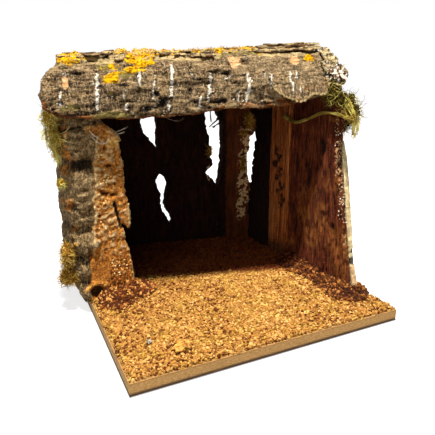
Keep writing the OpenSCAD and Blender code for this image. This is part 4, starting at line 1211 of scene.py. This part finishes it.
groundBed = dressed("ground_grit", groundLook["voxel"], 0, bedRule, bedTone, "granulate", "groundBed")
low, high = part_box("ground_grit")
nearest, farthest = low[1] - 0.001, high[1] + 0.001
strips = {"groundGranulesFront": (nearest, groundLook["middleFrom"], "near"),
          "groundGranulesMiddle": (groundLook["middleFrom"], groundLook["insideFrom"], "near"),
          "groundGranulesInside": (groundLook["insideFrom"], farthest, "deep"),
          "groundGranulesCoarse": (nearest, farthest, "coarse")}
for index, (pieceName, (fromY, toY, key)) in enumerate(strips.items()):
    # The bed's own top face carries the crumbs, so none lie inside a wall
    bm = mergedCopy("ground_grit")
    for plane, keepAbove in ((fromY, True), (toY, False)):
        bmesh.ops.bisect_plane(bm, geom=bm.verts[:] + bm.edges[:] + bm.faces[:], plane_co=(0, plane, 0),
                               plane_no=(0, 1, 0), clear_inner=keepAbove, clear_outer=not keepAbove)
    bm.normal_update()
    hidden = []
    for face in bm.faces:
        middle = face.calc_center_median()
        onRim = abs(middle.x) > high[0] - groundLook["rim"] or middle.y < low[1] + groundLook["rim"]
        if face.normal.z < 0.8 and not (face.normal.z > -0.3 and onRim):
            hidden.append(face)
    bmesh.ops.delete(bm, geom=hidden, context="FACES")
    carrier = pieceFrom(pieceName, bm)
    crumbs = granuleShapes(groundLook["kinds"], groundLook["flat"], 31 + index)
    scatter(pieceName, carrier, crumbs, groundLook[key], 40 + index)
    finish(carrier, corkCrumbs, "granulate", "ground_grit")
    print(pieceName, len(carrier.data.polygons), "faces")

# Heaps of darker, coarser bits at the walls' feet
heapLook = {"apart": 0.0018, "density": 900000.0, "size": (0.0018, 0.0038), "lean": 1.3,
            "keepCarrier": True, "kinds": 8, "flat": 0.6, "voxel": 0.0016}


def heapRule(point, normal):
    # The heaps run out flat away from the walls
    x, y, z = inMm(point)
    atLeft, atRight = fade(-x, 0, 10), fade(x, 0, 10)
    outer = max(fade(x, -70, -56) * atLeft, fade(-x, -82, -70) * atRight, fade(-y, 86, 98),
                fade(-y, 24, 34) * atLeft)
    sunk = Vector((0, 0, -(z - groundTop / mm) * 0.75 * outer * mm))
    return (sunk + normal * (0.0007 * rough(point, 0.004, 3, 103) - 0.0009), *plainMarks)


for index, (pieceName, nodeName) in enumerate((("heapLeft", "grit_heap_left"),
                                               ("heapRight", "grit_heap_right"))):
    core = sculpt(remeshed(pieceName, nodeName, heapLook["voxel"], 1), heapRule)
    crumbs = granuleShapes(heapLook["kinds"], heapLook["flat"], 61 + index)
    scatter(pieceName, core, crumbs, heapLook, 70 + index)
    finish(core, darkCrumbs if index else leftCrumbs, "dark_grit", nodeName)

# Loose bits glued to other pieces: straw crumbs on the broken end, torn fibres at the right wall's
# front edge, and lichen leaves on the roof
looseLook = {
    "straw": [(-83.4, 101.2, 5, 4), (-84.6, 84.3, 6, 3), (-86, 67, 4, 5), (-84, 117, 4, 3),
              (-77, 34, 6, 8)],
    "foot": [(-75, 24, 9, 20), (-82, 15, 10, 10)],
    "edge": [(-57.4, 142.3, -62.2, 119.4), (-62.2, 119.4, -68.7, 81.5), (-68.7, 81.5, -72, 66)],
    # Round the heaps, on the ground
    "stray": [(-72, -14, 38, 28), (-90, -30, 16, 20), (78, -60, 26, 50), (72, -10, 20, 24),
              (60, -104, 30, 16)],
    "kinds": 6,
}
dice = random.Random(37)


def looseBits(name, source, keep, material, slotName, look, flat, seed):
    # look: the least distance apart, how many to the square metre, the sizes, and the lean
    bits = carrierFrom(name, source, keep)
    look = dict(zip(("apart", "density", "size", "lean"), look))
    scatter(name, bits, granuleShapes(looseLook["kinds"], flat, seed), look, seed)
    return finish(bits, material, slotName)


def keepStraw(at, normal, mark):
    return normal.y < -0.4 and mark[0] > 0.5 and inPatches(at.x, at.z, looseLook["straw"]) > 0.35


def keepFoot(at, normal, mark):
    return normal.y < -0.3 and inPatches(at.x, at.z, looseLook["foot"]) > 0.35


def keepEdge(at, normal, mark):
    return normal.x < 0.3 and min(toSegment(at.y, at.z, line) for line in looseLook["edge"]) < 2.6


def keepLichen(at, normal, mark):
    return mark[1] > 0.55


def keepStray(at, normal, mark):
    return normal.z > 0.6 and inPatches(at.x, at.y, looseLook["stray"]) > 0.15 + 1.6 * dice.random()


looseBits("strawCrumbs", leftFront, keepStraw, strawCrumbs, "granulate",
          (0.0015, 500000.0, (0.0010, 0.0022), 1.0), 0.6, 201)
looseBits("footCrumbs", leftFront, keepFoot, leftCrumbs, "dark_grit",
          (0.0020, 400000.0, (0.0014, 0.0032), 1.2), 0.6, 202)
looseBits("edgeFibres", rightFront, keepEdge, edgeFibres, "inner_bark",
          (0.0019, 300000.0, (0.0007, 0.0018), 1.2), 0.5, 203)
looseBits("lichenLeaves", roofFront, keepLichen, lichenLeaves, "grey_bark",
          (0.0015, 700000.0, (0.0012, 0.0026), 0.7), 0.35, 204)
looseBits("strayCrumbs", groundBed, keepStray, darkCrumbs, "dark_grit",
          (0.0016, 300000.0, (0.0014, 0.0032), 0.8), 0.6, 205)
print("ground done")

# Two chips on the forecourt, the one in front golden
chipLook = {"voxel": 0.0007, "goldenFrom": 0.093, "goldenTo": 0.098, "ragged": 0.0032}


def chipRule(point, normal):
    lines = rough(point, 0.003, 3, 104)
    golden = fade(-point.y, chipLook["goldenFrom"], chipLook["goldenTo"])
    ragged = Vector((normal.x, normal.y, 0.0)) * chipLook["ragged"] * rough(point, 0.0032, 2, 105)
    flatter = Vector((0, 0, 0.0004 + 0.0006 * lines - 0.35 * golden * max(point.z - groundTop, 0.0)))
    return (ragged + flatter, (golden, 0, 0.56 * (1 - golden), 0.3 * (1 - golden)),
            (0.9 * golden * clamp(0.8 + lines), 0, 0.4 * clamp(lines) * golden, clamp(0.6 + 0.4 * lines)))


dressed("ground_chips", chipLook["voxel"], 1, chipRule, leftBark, "bark_chip")


# Moss: a lumpy core and many thin curved strands

def mossMaterial(name, core, middle, light):
    material, tree, shader, place = newMaterial(name)
    shade = node(tree, "ShaderNodeAttribute", attribute_name="shade").outputs["Fac"]
    grain = placed(tree, barkGrain, {"Vector": place, "Scale": 700.0, "Stretch": 1.0})
    areas = product(tree, sums(tree, "SUBTRACT", noisy(tree, place, 130.0, 2.0), 0.5), 0.9)
    value = sums(tree, "ADD", shade, areas)
    colour = mixed(tree, spread(tree, value, 0.0, 0.55), paint(core), paint(middle))
    colour = mixed(tree, spread(tree, value, 0.55, 1.0), colour, paint(light))
    colour = mixed(tree, spread(tree, grain["Tone"], 0.1, 0.6, 0.35, 0.0), colour, paint(core))
    tree.links.new(colour, shader.inputs["Base Color"])
    tree.links.new(spread(tree, grain["Tone"], 0.0, 1.0, 0.95, 0.75), shader.inputs["Roughness"])
    bumpy(tree, shader, grain["Height"], 0.7, 0.001)
    shader.inputs["Specular IOR Level"].default_value = 0.12
    return material


# greenMoss is paler than the moss's own colour, a painted highlight for moss the roof shades; shadeMoss is
# a darker copy, painted shade for moss under the roof
greenMoss = mossMaterial("greenMoss", "a88230", "e6cc50", "ffffa8")
goldMoss = mossMaterial("goldMoss", "845a18", "e2b040", "ffe88a")
strandMoss = mossMaterial("strandMoss", "5c441a", "a08636", "dccc68")
shadeMoss = mossMaterial("shadeMoss", "2e1e0a", "94802a", "f4e478")


def newCurve(name, width, resolution):
    curve = bpy.data.curves.new(name, "CURVE")
    curve.dimensions = "3D"
    curve.bevel_depth = width
    curve.bevel_resolution = resolution
    return curve


def meshOf(curve):
    temp = bpy.data.objects.new(curve.name, curve)
    mesh = bpy.data.meshes.new_from_object(temp)
    bpy.data.objects.remove(temp)
    bpy.data.curves.remove(curve)
    return mesh


def strandShapes(count, length, width, seed):
    # Tapered, curving strands that rise along Z, made from curves
    dice = random.Random(seed)
    shapes = []
    for index in range(count):
        curve = newCurve("strand", width, 0)
        spline = curve.splines.new("POLY")
        spline.points.add(5)
        side = dice.uniform(0, 2 * math.pi)
        bend = dice.uniform(0.3, 1.5)
        for step in range(6):
            share = step / 5
            lean = bend * share * share * length * 0.6
            spline.points[step].co = (lean * math.cos(side) + dice.uniform(-0.08, 0.08) * length,
                                      lean * math.sin(side) + dice.uniform(-0.08, 0.08) * length,
                                      (share - 0.35 * bend * share * share) * length, 1)
            spline.points[step].radius = 1.0 - 0.7 * share
        shapes.append(bpy.data.objects.new("strand%d" % index, meshOf(curve)))
    return shapes


mossLook = {
    "mossRoofRight": {"node": "moss_roof_right", "length": 0.009, "sink": 0.0024, "droop": 0.5,
                      "material": shadeMoss},
    "mossLeftUpper": {"node": "moss_left_upper", "length": 0.010, "sink": 0.0034, "droop": 0.9,
                      "material": greenMoss},
    "mossLeftFoot": {"node": "moss_left_foot", "length": 0.006, "sink": 0.0018, "droop": 0.2,
                     "material": goldMoss},
    "mossBackMid": {"node": "moss_back_mid", "length": 0.0045, "sink": 0.0014, "droop": 0.2,
                    "material": goldMoss},
    "mossBackRight": {"node": "moss_back_right", "length": 0.0045, "sink": 0.0014, "droop": 0.2,
                      "material": goldMoss},
    # Loose tufts that lie outside the main clumps: middle and half sizes in mm
    "mossDrape": {"at": (82.8, -53, 161), "half": (2.4, 10, 7), "length": 0.007, "droop": 0.6,
                  "material": shadeMoss},
    "mossFringe": {"at": (87, -61, 156), "half": (3, 4.5, 6), "length": 0.006, "droop": 0.9,
                   "material": shadeMoss},
    "mossLeftTop": {"at": (-117, -5, 146), "half": (3, 5, 7), "length": 0.007, "droop": 0.9,
                    "material": greenMoss},
    "mossLeftTuft": {"at": (-112.6, -7, 101), "half": (2, 3, 3), "length": 0.006, "droop": 0.8,
                     "material": greenMoss},
    "mossLeftSide": {"at": (-113.4, -4, 47), "half": (3.4, 6, 9), "length": 0.006, "droop": 0.6,
                     "material": goldMoss},
    "mossCorner": {"at": (85, 77, 134), "half": (4, 3, 9), "length": 0.005, "droop": 0.6,
                   "material": goldMoss},
}


strandLook = {"apart": 0.0011, "density": 1500000.0, "size": (0.5, 1.2), "lean": 0.8, "keepCarrier": True,
              "kinds": 7, "width": 0.00026, "voxel": 0.0012, "lumps": 0.0016}


def mossCore(name, look):
    # The CAD's own clump, or a loose tuft's lump
    if "node" in look:
        return remeshed(name, look["node"], strandLook["voxel"], 1)
    bm = bmesh.new()
    bmesh.ops.create_icosphere(bm, subdivisions=4, radius=1.0)
    bmesh.ops.transform(bm, verts=bm.verts, matrix=Matrix.Translation(Vector(look["at"]) * mm)
                        @ Matrix.Diagonal((*(Vector(look["half"]) * mm), 1.0)))
    return pieceFrom(name, bm)


def mossy(name, core, look, sink, seed):
    # The core is drawn in by sink, so that its strands reach about as far as the CAD's clump does
    lumps = strandLook["lumps"]
    sculpt(core, lambda point, normal: (lumps * rough(point, 0.004, 3, 110) - sink, *plainMarks))
    strands = strandShapes(strandLook["kinds"], look["length"], strandLook["width"], seed)
    scatter(name, core, strands, dict(strandLook, droop=look["droop"]), seed + 10)
    finish(core, look["material"], "moss", *([look["node"]] if "node" in look else []))
    print(name, len(core.data.polygons), "faces")


for index, (pieceName, look) in enumerate(mossLook.items()):
    mossy(pieceName, mossCore(pieceName, look), look, look.get("sink", 0.0), 120 + index)

# The moss on the roof is a low ragged mat
matLook = {"sheets": [{"at": (3, 88), "half": (14, 8), "rise": 0.5, "thick": 1.4, "lift": -0.5},
                      {"at": (24, 86), "half": (15, 8), "rise": 0.7, "thick": 1.4, "lift": -0.5},
                      {"at": (38, 80), "half": (9, 6), "rise": 0.6, "thick": 1.2, "lift": -0.4}],
           "node": "moss_roof_top", "length": 0.0026, "droop": 0.0, "material": goldMoss}
bm = bmesh.new()
for count, sheet in enumerate(matLook["sheets"]):
    barkSheet(bm, sheet, 90.5 + count)
mossy("mossRoofTop", pieceFrom("mossRoofTop", bm), matLook, 0.0, 150)


def stringsAlong(name, routes, each, width, jitter, seed):
    # Loose bundles of long strands along routes of points
    dice = random.Random(seed)
    curve = newCurve(name, width, 1)
    for route in [route for route in routes for _ in range(each)]:
        spline = curve.splines.new("NURBS")
        spline.points.add(len(route) - 1)
        spline.use_endpoint_u = True
        spline.order_u = min(4, len(route))
        for step, place in enumerate(route):
            away = Vector([dice.uniform(-1, 1) * jitter for _ in range(3)])
            spline.points[step].co = (*(Vector(place) * mm + away), 1)
            spline.points[step].radius = dice.uniform(0.5, 1.1) * (0.5 if step in (0, len(route) - 1)
                                                                   else 1)
        spline.resolution_u = 6
    mesh = meshOf(curve)
    shade = mesh.attributes.new("shade", "FLOAT", "POINT")
    shade.data.foreach_set("value", [0.7 + 0.5 * noise.noise(vertex.co * 150) for vertex in mesh.vertices])
    return linked(name, mesh)


stringLook = {
    "mossFlow": [[(85, -48, 163), (86, -56, 161), (87, -63, 155), (88, -69, 148), (89, -73, 142),
                  (88, -73, 136), (88, -74, 130)],
                 [(85, -44, 160), (86, -52, 157), (87, -59, 152), (87, -65, 147), (88, -70, 141),
                  (88, -72, 137)],
                 [(85, -40, 161), (85, -48, 156), (86, -55, 150), (86, -62, 146), (87, -68, 143)],
                 [(83, -50, 167), (85, -57, 164), (87, -63, 158), (88, -69, 151), (89, -73, 145)]],
    "mossLongStrand": [[(82.6, 11, 141), (82.2, 0, 138.5), (82.0, -10, 136.2), (82.2, -19, 139),
                        (82.4, -27, 142), (82.2, -38, 145.5), (82.3, -49, 147.4), (82.4, -60, 146.2),
                        (83, -69, 144.5), (86, -73, 143), (91, -72, 141)]],
    "mossShortStrands": [[(42.4, 80, 146), (43.0, 80, 140), (43.4, 80, 134)],
                         [(-119, -9, 140), (-121, -10, 131), (-118, -11, 124)],
                         [(-117, -9, 128), (-115, -10, 120), (-113, -11, 113)],
                         [(90, -74, 146), (90, -77, 138), (88, -76, 131)],
                         [(82.2, -2, 137), (82.2, 4, 141), (82.4, 9, 143)]],
    "darkTwigs": [[(42, 80, 129), (48, 80, 134), (57, 80, 140)],
                  [(45, 80, 128), (50, 80, 131.5), (57, 80, 134)],
                  [(49, 80, 136), (52, 80, 137), (57, 80, 137.5)]],
    "glueStrings": [[(-90.9, -14, 132.8), (-87.8, -14.5, 128.5), (-84.4, -14.5, 126.9),
                     (-79.4, -14.5, 128.1), (-79.9, -14, 131.6)],
                    [(-92.5, -13, 137), (-90, -14.5, 133), (-86, -14.5, 131)],
                    [(-75.6, -11, 132.8), (-71, -11, 133.2), (-67.6, -11, 134.8)],
                    [(-75.6, -9, 134), (-70, -9, 135.4), (-64, -8, 138)],
                    [(-8, 80, 141), (6.7, 80, 131.6), (14.1, 80, 137.8)]],
}
# How many to a route, their width, how far they stray, the material and its slot
bundleLook = {"mossLongStrand": (9, 0.0005, 0.0018, strandMoss, "moss"),
              "mossShortStrands": (6, 0.00035, 0.0014, strandMoss, "moss"),
              "mossFlow": (9, 0.0004, 0.0026, strandMoss, "moss"),
              "darkTwigs": (3, 0.0008, 0.0010, darkBark, "inner_bark")}
for index, (pieceName, (each, width, jitter, material, slotName)) in enumerate(bundleLook.items()):
    finish(stringsAlong(pieceName, stringLook[pieceName], each, width, jitter, 5 + index), material,
           slotName)
print("moss done")


# Glue: lumpy beads and thin strings

def glueMaterial(name, low, high):
    material, tree, shader, place = newMaterial(name)
    colour = mixed(tree, spread(tree, noisy(tree, place, 260.0, 3.0), 0.36, 0.64), paint(low), paint(high))
    tree.links.new(colour, shader.inputs["Base Color"])
    tree.links.new(spread(tree, noisy(tree, place, 500.0, 2.0), 0.3, 0.7, 0.25, 0.45),
                   shader.inputs["Roughness"])
    bumpy(tree, shader, noisy(tree, place, 300.0, 2.0), 0.3, 0.001)
    return material


glueLook = {"voxel": 0.0009, "each": 3, "width": 0.00020, "jitter": 0.0006}
glueBead = glueMaterial("glueBead", "6a4c28", "b89c6c")
glueString = glueMaterial("glueString", "c4b08c", "f6ecd4")


def beadRule(point, normal):
    return (0.0006 * rough(point, 0.006, 2, 140) - 0.0002, *plainMarks)


for nodeName in ("glue_roof_left", "glue_roof_right", "glue_corner_left", "glue_corner_right",
                 "glue_back_foot"):
    dressed(nodeName, glueLook["voxel"], 1, beadRule, glueBead, "glue")
strings = stringsAlong("glueStrings", stringLook["glueStrings"], glueLook["each"], glueLook["width"],
                       glueLook["jitter"], 9)
finish(strings, glueString, "glue")
print("glue done")

# Board: bare fibreboard
boardLook = {"dark": "a87838", "light": "d3a464", "foot": "3e2814", "rim": "a87a40", "patches": "9c7138"}
boardMaterial, tree, shader, place = newMaterial("fibreboard")
layered = node(tree, "ShaderNodeMapping", {"Vector": place, "Scale": (1.0, 1.0, 3.0)}).outputs[0]
fibre = noisy(tree, layered, 500.0, 6.0, 0.7)
rise = node(tree, "ShaderNodeSeparateXYZ", {0: place}).outputs[2]
colour = mixed(tree, spread(tree, fibre, 0.35, 0.65), paint(boardLook["dark"]), paint(boardLook["light"]))
# The edge's lowest two mm go dark: painted shade where the board meets the floor
colour = mixed(tree, spread(tree, rise, 0.0008, 0.0026, 0.94, 0.0), colour, paint(boardLook["foot"]))
colour = mixed(tree, spread(tree, rise, 0.0066, 0.0076, 0.0, 0.8), colour, paint(boardLook["rim"]))
colour = mixed(tree, spread(tree, noisy(tree, place, 60.0, 3.0), 0.5, 0.75, 0.0, 0.4), colour,
               paint(boardLook["patches"]))
tree.links.new(colour, shader.inputs["Base Color"])
tree.links.new(spread(tree, fibre, 0.3, 0.7, 0.9, 0.75), shader.inputs["Roughness"])
bumpy(tree, shader, fibre, 0.5, 0.0005)
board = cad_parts["base_board"]
board.data.materials.clear()
board.data.materials.append(boardMaterial)
print("board done")

# Floor, light and background
floorLook = {"colour": "acacac", "second": "a6a6a6", "contact": "3c3026", "glow": 0.74, "near": 0.16,
             "far": 0.45, "shade": 0.0024}
bm = bmesh.new()
bmesh.ops.create_grid(bm, x_segments=1, y_segments=1, size=4.0)
floor = pieceFrom("floor", bm)
floorMaterial, tree, shader, place = newMaterial("floor")
# The thin line of shade round the board's foot
low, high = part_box("base_board")
aside = node(tree, "ShaderNodeVectorMath", {0: place, 1: (low + high) / 2}, operation="SUBTRACT").outputs[0]
aside = node(tree, "ShaderNodeVectorMath", {0: aside}, operation="ABSOLUTE").outputs[0]
past = node(tree, "ShaderNodeVectorMath", {0: aside, 1: (high - low) / 2}, operation="SUBTRACT").outputs[0]
past = node(tree, "ShaderNodeSeparateXYZ", {0: past}).outputs
pastEdge = sums(tree, "MAXIMUM", product(tree, past[0], 3.0), past[1])
lit = spread(tree, pastEdge, -0.0002, floorLook["shade"])
ground = mixed(tree, noisy(tree, place, 30.0), paint(floorLook["second"]), paint(floorLook["colour"]))
tree.links.new(mixed(tree, lit, paint(floorLook["contact"]), ground), shader.inputs["Base Color"])
shader.inputs["Roughness"].default_value = 0.9
path = node(tree, "ShaderNodeLightPath").outputs
away = node(tree, "ShaderNodeVectorMath", {0: place}, operation="LENGTH").outputs["Value"]
far = spread(tree, away, floorLook["near"], floorLook["far"], floorLook["glow"], 1.0)
seen = product(tree, path["Is Camera Ray"], product(tree, far, lit))
glow = node(tree, "ShaderNodeEmission", {"Color": (1, 1, 1, 1), "Strength": seen}).outputs[0]
both = node(tree, "ShaderNodeAddShader", {0: shader.outputs[0], 1: glow}).outputs[0]
tree.links.new(both, tree.nodes["Material Output"].inputs["Surface"])
floor.data.materials.append(floorMaterial)

lampLook = {
    "key": {"place": (-0.12, -0.29, 1.30), "size": 0.10, "power": 36.0},
    "front": {"place": (-0.70, -1.0, 0.80), "size": 0.7, "power": 2.0},
    "right": {"place": (0.9, -0.7, 1.0), "size": 0.6, "power": 1.2},
    "left": {"place": (-1.0, -0.5, 0.55), "size": 0.5, "power": 1.6},
    "back": {"place": (0.5, 1.3, 0.7), "size": 0.8, "power": 8.0},
}
lampAim = Vector((0, 0, 0.09))
for name, look in lampLook.items():
    lamp = bpy.data.lights.new(name, "AREA")
    lamp.energy = look["power"]
    lamp.size = look["size"]
    holder = bpy.data.objects.new(name, lamp)
    scene.collection.objects.link(holder)
    holder.location = look["place"]
    holder.rotation_euler = (Vector(look["place"]) - lampAim).to_track_quat("Z", "Y").to_euler()

daylight = 0.045  # The world's own strength on the object
world = bpy.data.worlds.new("studio")
scene.world = world
world.use_nodes = True
tree = world.node_tree
path = node(tree, "ShaderNodeLightPath").outputs
seen = sums(tree, "MAXIMUM", path["Is Glossy Ray"], path["Is Transmission Ray"])
seen = sums(tree, "MAXIMUM", path["Is Camera Ray"], seen)
tree.nodes["Background"].inputs[0].default_value = (1, 1, 1, 1)
tree.links.new(spread(tree, seen, 0.0, 1.0, daylight, 1.0), tree.nodes["Background"].inputs[1])
scene.view_settings.view_transform = "Standard"
